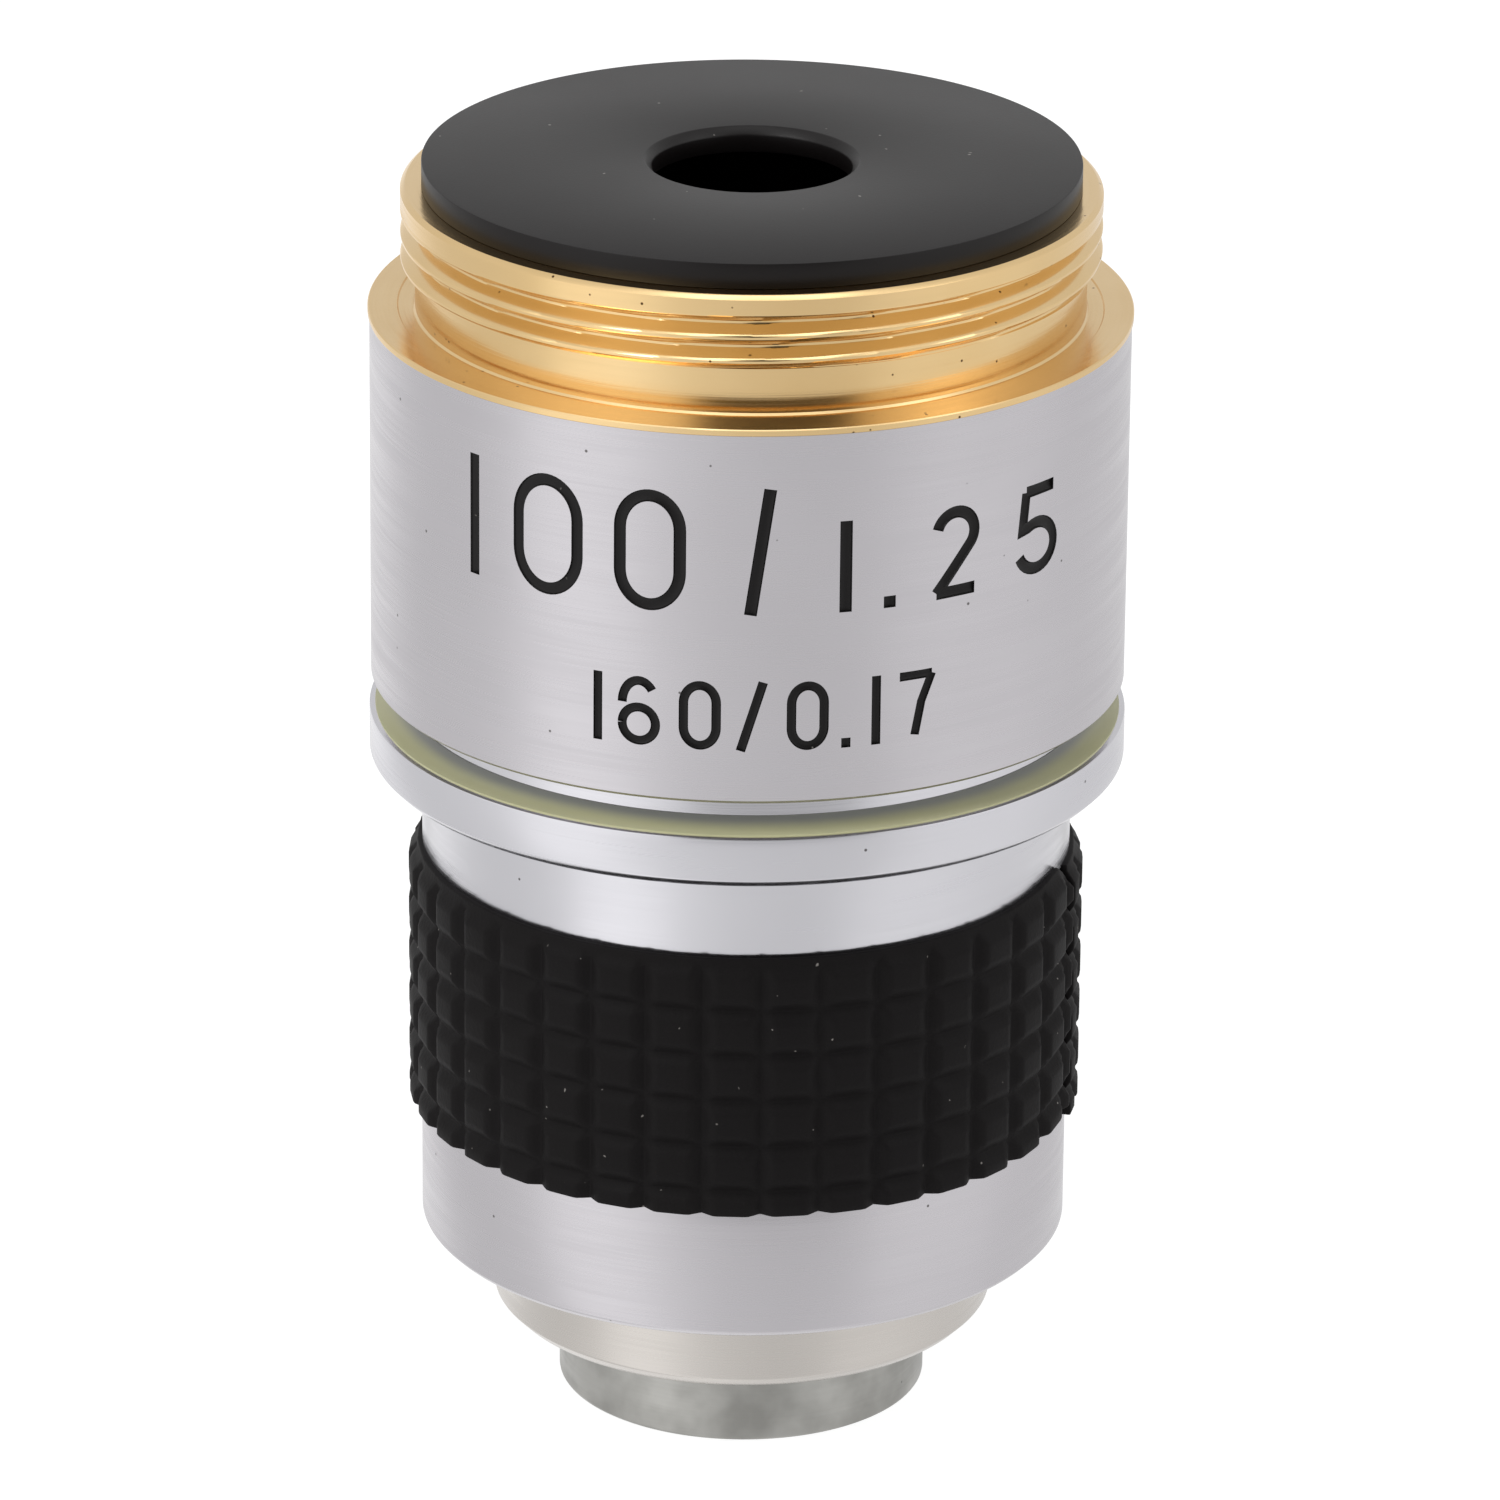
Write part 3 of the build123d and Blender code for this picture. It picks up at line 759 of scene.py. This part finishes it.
@dataclass
class EngravedSleeve:
    """Outer sleeve with two lines of engraved and filled plain numbers."""

    depth: float = 0.10
    bore_r: float = 9.62
    low_edge: float = 0.10
    high_edge: float = 0.03
    flare: float = 1.5
    straight_signs: str = "1./"
    upper: Line = field(default_factory=lambda: Line(
        "100/1.25", (-44.7, -31.0, -14.6, 1.75, 14.4, 21.2, 32.0, 47.8), 28.16,
        (3.60, 3.60, 3.60, 3.75, 2.72, 0.35, 2.72, 2.72),
        (0.0, 2.30, 2.10, 0.90, 0.0, 0.0, 1.60, 1.85), 0.36))
    lower: Line = field(default_factory=lambda: Line(
        "160/0.17", (-22.5, -16.1, -6.95, 0.7, 8.95, 14.7, 19.3, 25.6), 24.08,
        (2.07, 2.07, 2.07, 2.07, 2.07, 0.29, 2.07, 2.07),
        (0.0, 1.25, 1.20, 0.90, 1.20, 0.0, 0.0, 1.28), 0.27))

    def strokes(self, glyph: Glyph, w: float, h: float) -> list[list[tuple[float, float]]]:
        """Gives the centre lines of a sign's strokes about its middle.

        Args:
            glyph: the sign.
            w: width between its outermost centre lines.
            h: height between its lowest and highest centre lines.

        Returns:
            Open lines of (across, up) points; a closed one ends where it starts.
        """
        half = w / 2
        if glyph is Glyph.ONE or glyph is Glyph.POINT:
            return [[(0, 0), (0, h)]]
        if glyph is Glyph.SLASH:
            return [[(-half, 0), (half, h)]]
        if glyph is Glyph.ZERO:
            bend = min(half * 1.15, h / 2)
            loop = (arc(0, h - bend, half, bend, 0, 180) + arc(0, bend, half, bend, 180, 360))
            return [loop + loop[:1]]
        if glyph is Glyph.TWO:
            top = arc(0, h - half, half, half, 165, -35)
            return [top + [(-half, 0)], [(-half, 0), (half * 1.05, 0)]]
        if glyph is Glyph.FIVE:
            bowl = arc(0, half * 0.92, half, half * 0.92, 118, -160)
            start = (-half * 0.62, h)
            return [[(half * 0.95, h), start], [start, (-half * 0.8, h * 0.53), *bowl]]
        if glyph is Glyph.SIX:
            r = half
            ring = arc(0, r * 1.02, half, r * 1.02, 180, 540, 40)
            back = arc(0, h * 0.62, half, h * 0.38, 180, 38)
            return [ring, back]
        return [[(-half, h), (half, h)], [(half, h), (half * 0.35, h * 0.55), (-0.02, 0)]]

    def cutter(self, sign: str, angle: float, low: float, h: float, w: float,
               stroke: float) -> bpy.types.Object:
        """Makes the solid that cuts one sign, wrapped onto the sleeve.

        Args:
            sign: the character.
            angle: the sign's middle, in degrees from the front towards +X.
            low: its lower edge's height.
            h: its height over all.
            w: its width over all.
            stroke: width of the cut.

        Returns:
            The cutter, in object mode.
        """
        outer = widest("barrel_sleeve")
        reach = stroke / 2
        lift = 0.0 if sign in self.straight_signs else reach
        lines = self.strokes(Glyph(sign), max(0.0, w - stroke), h - 2 * lift)
        deselect_all()
        bpy.ops.curve.primitive_nurbs_path_add(location=(0, 0, 0))
        curve = bpy.context.object
        curve.data.splines.clear()
        for points in lines:
            spline = curve.data.splines.new("POLY")
            closed = len(points) > 2 and points[0] == points[-1]
            kept = points[:-1] if closed else points
            spline.points.add(len(kept) - 1)
            for point, (x, y) in zip(spline.points, kept):
                point.co = (x * MM, (y + lift) * MM, 0, 1)
            spline.use_cyclic_u = closed
        curve.data.dimensions = "2D"
        curve.data.fill_mode = "NONE"
        curve.data.bevel_depth = reach * MM
        curve.data.bevel_resolution = 3
        curve.data.use_fill_caps = True
        bpy.ops.object.convert(target="MESH")
        solid = bpy.context.object
        for vertex in solid.data.vertices:
            x, y, z = vertex.co / MM
            turn_by = radians(angle) + x / outer
            radius = outer + z * (self.flare if z > 0 else self.depth / reach)
            vertex.co = Vector((radius * sin(turn_by), -radius * cos(turn_by), low + y)) * MM
        return solid

    def build(self, plate: bpy.types.Material, paint: bpy.types.Material) -> None:
        """Makes the sleeve, cuts the numbers and fills them with paint.

        Args:
            plate: the sleeve's finish.
            paint: the black fill.
        """
        outer = widest("barrel_sleeve")
        low, high = level("barrel_sleeve", Side.LOW), level("barrel_sleeve", Side.HIGH)
        piece = turn("engraved_sleeve", [
            (self.bore_r, low), (outer - self.low_edge, low), (outer, low + self.low_edge),
            (outer, high - self.high_edge), (outer - self.high_edge, high),
            (self.bore_r, high),
        ], steps=720)
        dress_parts(piece, plate, paint, lambda _: False)
        for line in (self.upper, self.lower):
            for sign, angle, h, w in zip(line.signs, line.angles, line.height, line.width):
                tool = self.cutter(sign, angle, line.low, h, w, line.stroke)
                dress_parts(tool, plate, paint, lambda _: True)
                activate(piece)
                cut = piece.modifiers.new("cut", "BOOLEAN")
                cut.operation = "DIFFERENCE"
                cut.object = tool
                cut.solver = "EXACT"
                cut.use_self = True
                bpy.ops.object.modifier_apply(modifier=cut.name)
                bpy.data.objects.remove(tool)
        finish_mesh(piece, "engraved_sleeve", 30.0)
        place_piece(piece, "housing", None, "satin_plate", "barrel_sleeve")


@dataclass
class LowerBody:
    """Skirt, strip recess, neck, proud ring and groove, turned from one bar."""

    guide_r: float = 7.45
    skirt_r: float = 9.55
    grip_low: float = 9.20
    grip_high: float = 17.14
    grip_floor: float = 9.15
    neck_r: float = 9.52
    ring_low: float = 19.88
    groove_low: float = 21.42
    groove_r: float = 10.0
    sleeve_low: float = 22.46
    spigot_r: float = 8.88
    chamber_r: float = 8.20
    lip_high: float = 7.20
    skirt_edge: float = 0.20
    ring_edge: float = 0.25
    edge: float = 0.04
    bright_overlap: float = 0.1
    band_gap: float = 0.02
    band_depth: float = 0.05
    band_climb: float = 0.27

    def build(self, plate: bpy.types.Material, bright: bpy.types.Material,
              lacquer: bpy.types.Material) -> None:
        """Makes the body and the colour band in its groove.

        Args:
            plate: the skirt's finish.
            bright: the finish above the strip.
            lacquer: the band's cream fill.
        """
        low, high = level("lower_body", Side.LOW), level("lower_body", Side.HIGH)
        ring_r = widest("lower_body")
        piece = turn("lower_body_shell", [
            (self.guide_r, low), (self.skirt_r - self.skirt_edge, low),
            (self.skirt_r, low + self.skirt_edge), (self.skirt_r, self.grip_low),
            (self.grip_floor, self.grip_low), (self.grip_floor, self.grip_high),
            (self.neck_r, self.grip_high), (self.neck_r, self.ring_low),
            (ring_r - self.ring_edge, self.ring_low),
            (ring_r, self.ring_low + self.ring_edge), (ring_r, self.groove_low),
            (self.groove_r, self.groove_low), (self.groove_r, self.sleeve_low),
            (self.spigot_r, self.sleeve_low), (self.spigot_r, high), (self.chamber_r, high),
            (self.chamber_r, self.lip_high), (self.guide_r, self.lip_high),
        ])
        ease_edges(piece, self.edge)
        finish_mesh(piece, "lower_body_shell")
        bright_from = self.grip_high - self.bright_overlap
        dress_parts(piece, plate, bright, lambda spot: spot.z / MM > bright_from)
        place_piece(piece, "housing", None, "satin_plate", "lower_body")
        band_r = widest("colour_band")
        floor_z = self.groove_low
        inner = self.groove_r + self.band_gap
        hollow = [(inner + (band_r - inner) * t,
                   floor_z + self.band_depth + self.band_climb * (1 - t) ** 3)
                  for t in (0, 0.1, 0.2, 0.3, 0.45, 0.6, 0.8, 1.0)]
        band = turn("colour_band_fill", [(inner, floor_z), (band_r, floor_z), *reversed(hollow)])
        finish_mesh(band, "colour_band_fill", 60.0)
        place_piece(band, "housing", lacquer, "cream_lacquer", "colour_band")


@dataclass
class RubberGrip:
    """Moulded strip of low pads, wrapped round the body with its ends meeting."""

    columns: int = 36
    row: float = 1.406
    margin: float = 0.72
    phase_deg: float = 3.0
    seam_deg: float = 76.0
    gap: float = 0.16
    inner_r: float = 9.17
    rise: float = 0.25
    groove: float = 0.70
    bevel_h: float = 0.50
    lift: float = 0.40
    lift_length: float = 6.0
    snip_from: float = 0.8
    snip_rate: float = 5.0
    snip_length: float = 0.9
    snip_depth: float = 0.7
    edge: float = 0.05
    cells: int = 7
    spare_rows: int = 3
    merge: float = 0.002

    def build(self, rubber: bpy.types.Material) -> None:
        """Makes, wraps and dresses the strip.

        Args:
            rubber: its finish.
        """
        low, high = level("grip_strip", Side.LOW), level("grip_strip", Side.HIGH)
        outer = widest("grip_strip")
        height = high - low
        piece = self.tiles(2 * pi * outer, height)
        self.cut_ends(piece, 2 * pi * outer, height)
        self.close_back(piece, outer - self.inner_r)
        for vertex in piece.data.vertices:
            vertex.co = self.wrap(vertex.co / MM, outer, low, height) * MM
        with editing():
            bpy.ops.mesh.normals_make_consistent(inside=False)
        ease_edges(piece, self.edge)
        finish_mesh(piece, "rubber_grip", 60.0)
        place_piece(piece, "housing", rubber, "black_rubber", "grip_strip")

    def tiles(self, around: float, height: float) -> bpy.types.Object:
        """Makes the flat sheet of pads from one tile that is copied.

        Args:
            around: length of a full turn.
            height: height of the strip.

        Returns:
            The sheet, its grooves 0 high and its pads up to the rise.
        """
        tile = around / self.columns
        deselect_all()
        bpy.ops.mesh.primitive_grid_add(x_subdivisions=self.cells, y_subdivisions=self.cells,
                                        size=1, location=(0, 0, 0))
        piece = bpy.context.object
        half = self.groove / 2
        across = self.stops(tile, half)
        upwards = self.stops(self.row, half)
        for vertex in piece.data.vertices:
            x = across[round((vertex.co.x + 0.5) * self.cells)]
            y = upwards[round((vertex.co.y + 0.5) * self.cells)]
            share = min(self.flank(x, tile, half), self.flank(y, self.row, half))
            vertex.co = Vector((x, y, self.rise * share)) * MM
        rows = int(height / self.row) + self.spare_rows
        for axis, count, step in ((0, self.columns + 1, tile), (1, rows, self.row)):
            copies = piece.modifiers.new("copies", "ARRAY")
            copies.count = count
            copies.use_relative_offset = False
            copies.use_constant_offset = True
            copies.constant_offset_displace = [step * MM if i == axis else 0 for i in range(3)]
            copies.use_merge_vertices = True
            copies.merge_threshold = self.merge * MM
            bpy.ops.object.modifier_apply(modifier=copies.name)
        start = (self.seam_deg - self.phase_deg) / 360 * around % tile
        for vertex in piece.data.vertices:
            vertex.co.x -= (tile - start) * MM
            vertex.co.y -= (self.row - self.margin) * MM
        return piece

    def stops(self, size: float, half: float) -> list[float]:
        """Gives the eight grid lines of a tile, close together at its grooves."""
        return [0, half * 0.55, half, half * 1.35, size - half * 1.35, size - half,
                size - half * 0.55, size]

    def flank(self, place: float, size: float, half: float) -> float:
        """Tells how far up a pad's side a grid line lies.

        Args:
            place: distance from the tile's edge, in the middle of the groove.
            size: width of the tile.
            half: half the groove's width.

        Returns:
            From 0 in the groove to 1 on the pad's top.
        """
        near = min(place, size - place)
        for reach, share in ((0.0, 0.0), (half * 0.6, 0.54), (half * 1.1, 0.94)):
            if near <= reach:
                return share
        return 1.0

    def cut_ends(self, piece: bpy.types.Object, around: float, height: float) -> None:
        """Trims the sheet to the strip's length and height.

        Args:
            piece: the flat sheet.
            around: length of a full turn.
            height: height of the strip.
        """
        planes = (((self.gap / 2, 0, 0), (-1, 0, 0)), ((around - self.gap / 2, 0, 0), (1, 0, 0)),
                  ((0, 0, 0), (0, -1, 0)), ((0, height, 0), (0, 1, 0)))
        with editing():
            for point, normal in planes:
                bpy.ops.mesh.bisect(plane_co=Vector(point) * MM, plane_no=normal,
                                    clear_outer=True)
                bpy.ops.mesh.select_all(action="SELECT")
            bpy.ops.mesh.bisect(plane_co=(0, (height - self.bevel_h) * MM, 0),
                                plane_no=(0, 1, 0))

    def close_back(self, piece: bpy.types.Object, thickness: float) -> None:
        """Gives the sheet its thickness, with a flat back.

        Args:
            piece: the trimmed sheet.
            thickness: from the back to the pads' tops.
        """
        back = -(thickness - self.rise)
        with editing():
            bpy.ops.mesh.extrude_region_move(TRANSFORM_OT_translate={"value": (0, 0, -MM)})
        for vertex in piece.data.vertices:
            if vertex.co.z < -0.3 * MM:
                vertex.co.z = back * MM

    def wrap(self, flat: Vector, outer: float, low: float, height: float) -> Vector:
        """Bends a point of the flat strip round the body.

        Args:
            flat: along the strip, up it, and out of its grooves, in millimetres.
            outer: radius over the pads.
            low: height of the strip's lower edge.
            height: height of the strip.

        Returns:
            The point's place in millimetres.
        """
        x, y, z = flat
        radius = outer - self.rise + z
        slope = max(0.0, (y - height + self.bevel_h) / self.bevel_h)
        if z > 0:
            radius = min(radius, outer - self.rise * slope)
        angle = radians(self.seam_deg) - x / outer
        rise = self.lift * max(0.0, 1 - x / self.lift_length) ** 2
        corner = max(0.0, y / height - self.snip_from) * self.snip_rate
        snip = corner * max(0.0, 1 - x / self.snip_length)
        z_out = low + y + rise - snip * self.snip_depth
        return Vector((radius * sin(angle), -radius * cos(angle), z_out))


@dataclass
class SlidingNose:
    """Nose tube and tip cap, which slide up against the spring."""

    cap_r: float = 4.95
    bore_r: float = 6.30
    flange_low: float = 7.22
    flange_high: float = 10.80
    flange_r: float = 8.05
    tube_r: float = 7.40
    stack_low: float = 5.00
    tip_round: float = 0.15
    nose_edge: float = 0.36
    gap: float = 0.02
    edge: float = 0.05
    port_r: float = 0.84
    cell_bore: float = 3.32
    cell_floor: float = 1.30
    cone_r: float = 1.79
    lens_bore: float = 1.07
    lens_top: float = 0.58
    lens_floor: float = 0.23

    def build(self, nickel: bpy.types.Material, shaded_tip: bpy.types.Material) -> None:
        """Makes and dresses the nose tube and the tip.

        Args:
            nickel: the tube's finish.
            shaded_tip: the tip's finish, a darker grey as painted shade.
        """
        low, high = level("nose_sleeve", Side.LOW), level("nose_sleeve", Side.HIGH)
        socket_r = self.cap_r + self.gap
        tube = turn("nose_tube", [
            (socket_r, low), (self.tube_r - self.nose_edge, low),
            (self.tube_r, low + self.nose_edge), (self.tube_r, self.flange_low),
            (self.flange_r, self.flange_low), (self.flange_r, self.flange_high),
            (self.tube_r, self.flange_high), (self.tube_r, high), (self.bore_r, high),
            (self.bore_r, self.stack_low), (socket_r, self.stack_low),
        ])
        ease_edges(tube, self.edge)
        finish_mesh(tube, "nose_tube")
        place_piece(tube, "nose", nickel, "nickel_silver", "nose_sleeve")
        tip_r = widest("front_cap")
        cap_top = level("front_cap", Side.HIGH)
        cap = turn("tip_cap", [
            (self.port_r, 0.0), (tip_r, 0.0), (tip_r, low), (self.cap_r, low),
            (self.cap_r, cap_top), (self.cell_bore, cap_top),
            (self.cell_bore, self.cell_floor), (self.cone_r, self.cell_floor),
            (self.lens_bore, self.lens_top), (self.lens_bore, self.lens_floor),
        ])
        ease_edges(cap, self.tip_round, 4)
        finish_mesh(cap, "tip_cap")
        place_piece(cap, "nose", shaded_tip, "plated_tip", "front_cap")


@dataclass
class InnerPieces:
    """Solids inside the barrel, which keep their shape and get their finish."""

    blackened: Sequence[str] = ("spring_seat", "meniscus_cell", "front_spacer",
                                "lower_doublet_cell", "middle_spacer", "upper_doublet_cell",
                                "rear_stop", "cell_retainer")
    glass: Sequence[str] = ("front_lens", "meniscus_lens", "lower_doublet_flint",
                            "lower_doublet_crown", "upper_doublet_flint",
                            "upper_doublet_crown")
    wire_smooth_deg: float = 50.0

    def build(self, black: bpy.types.Material, lens: bpy.types.Material,
              steel: bpy.types.Material) -> None:
        """Dresses the inner solids and makes a smoothed copy of the spring that rides on the
        housing.

        Args:
            black: finish of the cells and rings.
            lens: finish of the glasses.
            steel: finish of the spring and the screw.
        """
        choice = {name: black for name in self.blackened}
        choice.update({name: lens for name in self.glass})
        choice["guide_screw"] = steel
        for name, finish in choice.items():
            node = frame["nodes"][name]
            node.data.materials.clear()
            node.data.materials.append(finish)
            LOG.info("%s: dressed", name)
        source = frame["nodes"]["return_spring"]
        spring = source.copy()
        spring.data = source.data.copy()
        spring.parent = None
        spring.name = "coil_spring"
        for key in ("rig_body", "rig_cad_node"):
            if key in spring:
                del spring[key]
        bpy.context.scene.collection.objects.link(spring)
        activate(spring)
        with editing():
            bpy.ops.mesh.remove_doubles(threshold=MERGE_MM * MM)
        bpy.ops.object.shade_smooth_by_angle(angle=radians(self.wire_smooth_deg))
        place_piece(spring, "housing", steel, "spring_steel", "return_spring")
        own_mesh(spring)


@dataclass
class Studio:
    """White ground, plain soft lamps and the camera at the photograph's angle."""

    distance: float = 291.0
    elevation: float = 20.914
    pan: float = -0.0189
    tilt: float = -0.4866
    roll: float = -0.534
    lens_mm: float = 238.84
    target_z: float = 22.46
    lamp_aim_z: float = 19.0
    horizon: tuple[float, float] = (-0.05, 0.15)
    soft_strength: float = 0.5
    ground_size: float = 4.0
    ground_drop: float = 0.02
    ground_glow: float = 1.28
    glow_share: float = 0.7
    # Name, azimuth, height in degrees, distance, size in millimetres, watts.
    lamps: Sequence[tuple[str, float, float, float, float, float]] = (
        ("key", -50.0, 45.0, 420.0, 220.0, 0.45),
        ("fill", 70.0, 40.0, 450.0, 300.0, 0.22),
        ("top", 10.0, 80.0, 480.0, 260.0, 0.25),
    )
    # Azimuth from the front and strength, below and above the horizon.
    table: Sequence[tuple[float, float]] = (
        (-180, 0.95), (-150, 1.05), (-116, 0.82), (-80, 0.88), (-58, 1.22), (-42, 1.18),
        (-22, 0.92), (18, 0.78), (34, 0.80), (52, 0.94), (78, 0.95), (120, 0.85),
        (180, 0.95))
    room: Sequence[tuple[float, float]] = (
        (-180, 0.78), (-100, 0.90), (-60, 1.25), (-24, 1.15), (-14, 0.16), (32, 0.14),
        (40, 0.95), (75, 1.15), (110, 0.85), (180, 0.78))

    def camera(self) -> None:
        """Puts the camera where the photograph was taken from."""
        data = bpy.data.cameras.new("camera")
        data.lens = self.lens_mm
        data.sensor_width = 36.0
        data.clip_start = 0.01
        data.clip_end = 10.0
        cam = bpy.data.objects.new("camera", data)
        bpy.context.scene.collection.objects.link(cam)
        rise = radians(self.elevation)
        spot = Vector((0, -self.distance * cos(rise), self.target_z + self.distance * sin(rise)))
        cam.matrix_world = (Matrix.Translation(spot * MM)
                            @ Matrix.Rotation(radians(90 - self.elevation), 4, "X")
                            @ Matrix.Rotation(radians(self.pan), 4, "Y")
                            @ Matrix.Rotation(radians(self.tilt), 4, "X")
                            @ Matrix.Rotation(radians(-self.roll), 4, "Z"))
        bpy.context.scene.camera = cam

    def light(self) -> None:
        """Hangs the soft lamps round the object."""
        middle = Vector((0, 0, self.lamp_aim_z * MM))
        for name, azimuth, height, distance, size, power in self.lamps:
            data = bpy.data.lights.new(name, "AREA")
            data.shape = "DISK"
            data.size = size * MM
            data.energy = power
            lamp = bpy.data.objects.new(name, data)
            bpy.context.scene.collection.objects.link(lamp)
            side, up = radians(azimuth), radians(height)
            way = Vector((sin(side) * cos(up), -cos(side) * cos(up), sin(up)))
            lamp.location = middle + way * distance * MM
            lamp.rotation_euler = way.to_track_quat("Z", "Y").to_euler()

    def world(self) -> None:
        """Makes the surround: white for the camera, and a lit table and room for metal."""
        world = bpy.data.worlds.new("surround")
        bpy.context.scene.world = world
        world.use_nodes = True
        tree = world.node_tree
        tree.nodes.clear()
        way = add_node(tree, "ShaderNodeTexCoord").outputs["Generated"]
        parts = add_node(tree, "ShaderNodeSeparateXYZ", {0: way}).outputs
        front = add_node(tree, "ShaderNodeMath", {0: parts["Y"], 1: -1.0},
                         operation="MULTIPLY")
        azimuth = add_node(tree, "ShaderNodeMath", {0: parts["X"], 1: front.outputs[0]},
                           operation="ARCTAN2")
        turns = add_node(tree, "ShaderNodeMapRange",
                         {"Value": azimuth.outputs[0], "From Min": -pi, "From Max": pi})
        below, above = (self.bands(tree, turns.outputs[0], stops)
                        for stops in (self.table, self.room))
        height = add_node(tree, "ShaderNodeMapRange",
                          {"Value": parts["Z"], "From Min": self.horizon[0],
                           "From Max": self.horizon[1]})
        seen = add_node(tree, "ShaderNodeMix",
                        {0: height.outputs[0], 2: below, 3: above}, data_type="FLOAT")
        path = add_node(tree, "ShaderNodeLightPath").outputs
        plain = add_node(tree, "ShaderNodeMath", {0: path["Is Camera Ray"],
                                                  1: path["Is Transmission Ray"]},
                         operation="MAXIMUM")
        soft = add_node(tree, "ShaderNodeMapRange",
                        {"Value": plain.outputs[0], "To Min": self.soft_strength,
                         "To Max": 1.0})
        power = add_node(tree, "ShaderNodeMix",
                         {0: path["Is Glossy Ray"], 2: soft.outputs[0], 3: seen.outputs[0]},
                         data_type="FLOAT")
        back = add_node(tree, "ShaderNodeBackground",
                        {"Color": (1, 1, 1, 1), "Strength": power.outputs[0]})
        add_node(tree, "ShaderNodeOutputWorld", {"Surface": back.outputs[0]})

    def bands(self, tree: bpy.types.NodeTree, turns: bpy.types.NodeSocket,
              stops: Sequence[tuple[float, float]]) -> bpy.types.NodeSocket:
        """Adds upright bands of light round the object.

        Args:
            tree: node tree of the surround.
            turns: azimuth from 0 to 1, the front in its middle.
            stops: azimuth in degrees and strength, in order.

        Returns:
            The strength in the direction of the ray.
        """
        curve = add_node(tree, "ShaderNodeFloatCurve", {"Value": turns})
        points = curve.mapping.curves[0].points
        for azimuth, strength in stops[1:-1]:
            points.new((azimuth + 180) / 360, strength / 2)
        points[0].location = (0, stops[0][1] / 2)
        points[-1].location = (1, stops[-1][1] / 2)
        curve.mapping.update()
        double = add_node(tree, "ShaderNodeMath", {0: curve.outputs[0], 1: 2.0},
                          operation="MULTIPLY")
        return double.outputs[0]

    def ground(self) -> None:
        """Lays the white ground, which keeps a faint shadow of the object."""
        deselect_all()
        bpy.ops.mesh.primitive_plane_add(size=self.ground_size,
                                         location=(0, 0, -self.ground_drop * MM))
        ground = bpy.context.object
        ground.name = "ground"
        ground.visible_glossy = False
        material = bpy.data.materials.new("white_ground_paper")
        material.use_nodes = True
        tree = material.node_tree
        tree.nodes.clear()
        place = add_node(tree, "ShaderNodeTexCoord").outputs["Object"]
        grain = add_node(tree, "ShaderNodeTexNoise", {"Vector": place, "Scale": 800.0})
        colour = add_node(tree, "ShaderNodeMapRange",
                          {"Value": grain.outputs["Fac"], "To Min": 0.9, "To Max": 0.94})
        paper = add_node(tree, "ShaderNodeBsdfDiffuse", {"Color": colour.outputs[0]})
        glow = add_node(tree, "ShaderNodeEmission",
                        {"Color": (1, 1, 1, 1), "Strength": self.ground_glow})
        path = add_node(tree, "ShaderNodeLightPath").outputs
        seen = add_node(tree, "ShaderNodeMath", {0: path["Is Camera Ray"],
                                                 1: path["Is Transmission Ray"]},
                        operation="MAXIMUM")
        share = add_node(tree, "ShaderNodeMath", {0: seen.outputs[0], 1: self.glow_share},
                         operation="MULTIPLY")
        mixed = add_node(tree, "ShaderNodeMixShader",
                         {0: share.outputs[0], 1: paper.outputs[0], 2: glow.outputs[0]})
        add_node(tree, "ShaderNodeOutputMaterial", {"Surface": mixed.outputs[0]})
        ground.data.materials.append(material)

    def build(self) -> None:
        """Makes the camera, lamps, surround and ground."""
        self.camera()
        self.light()
        self.world()
        self.ground()
        bpy.context.scene.view_settings.view_transform = "Standard"


def main() -> None:
    """Builds every piece in order."""
    logging.basicConfig(level=logging.INFO, format="%(message)s")
    Studio().build()
    satin, bright = SATIN_PLATE.build(), BRIGHT_PLATE.build()
    paint, black = ENGRAVING_PAINT.build(), BLACKENED_BRASS.build()
    # Between these heights the band's fill fades from cream to grey painted shade.
    cream = PooledLacquer("cream_lacquer", low_mm=21.46, high_mm=21.70).build()
    EndDisc().build(BLACK_LACQUER.build())
    ScrewMount().build(BARE_BRASS.build(), black)
    EngravedSleeve().build(satin, paint)
    LowerBody().build(satin, bright, cream)
    RubberGrip().build(MOULDED_RUBBER.build())
    SlidingNose().build(NICKEL_SILVER.build(), TIP_NICKEL_PAINTED_SHADE.build())
    InnerPieces().build(black, LENS_GLASS.build(), BARE_STEEL.build())


if __name__ == "__main__":
    main()
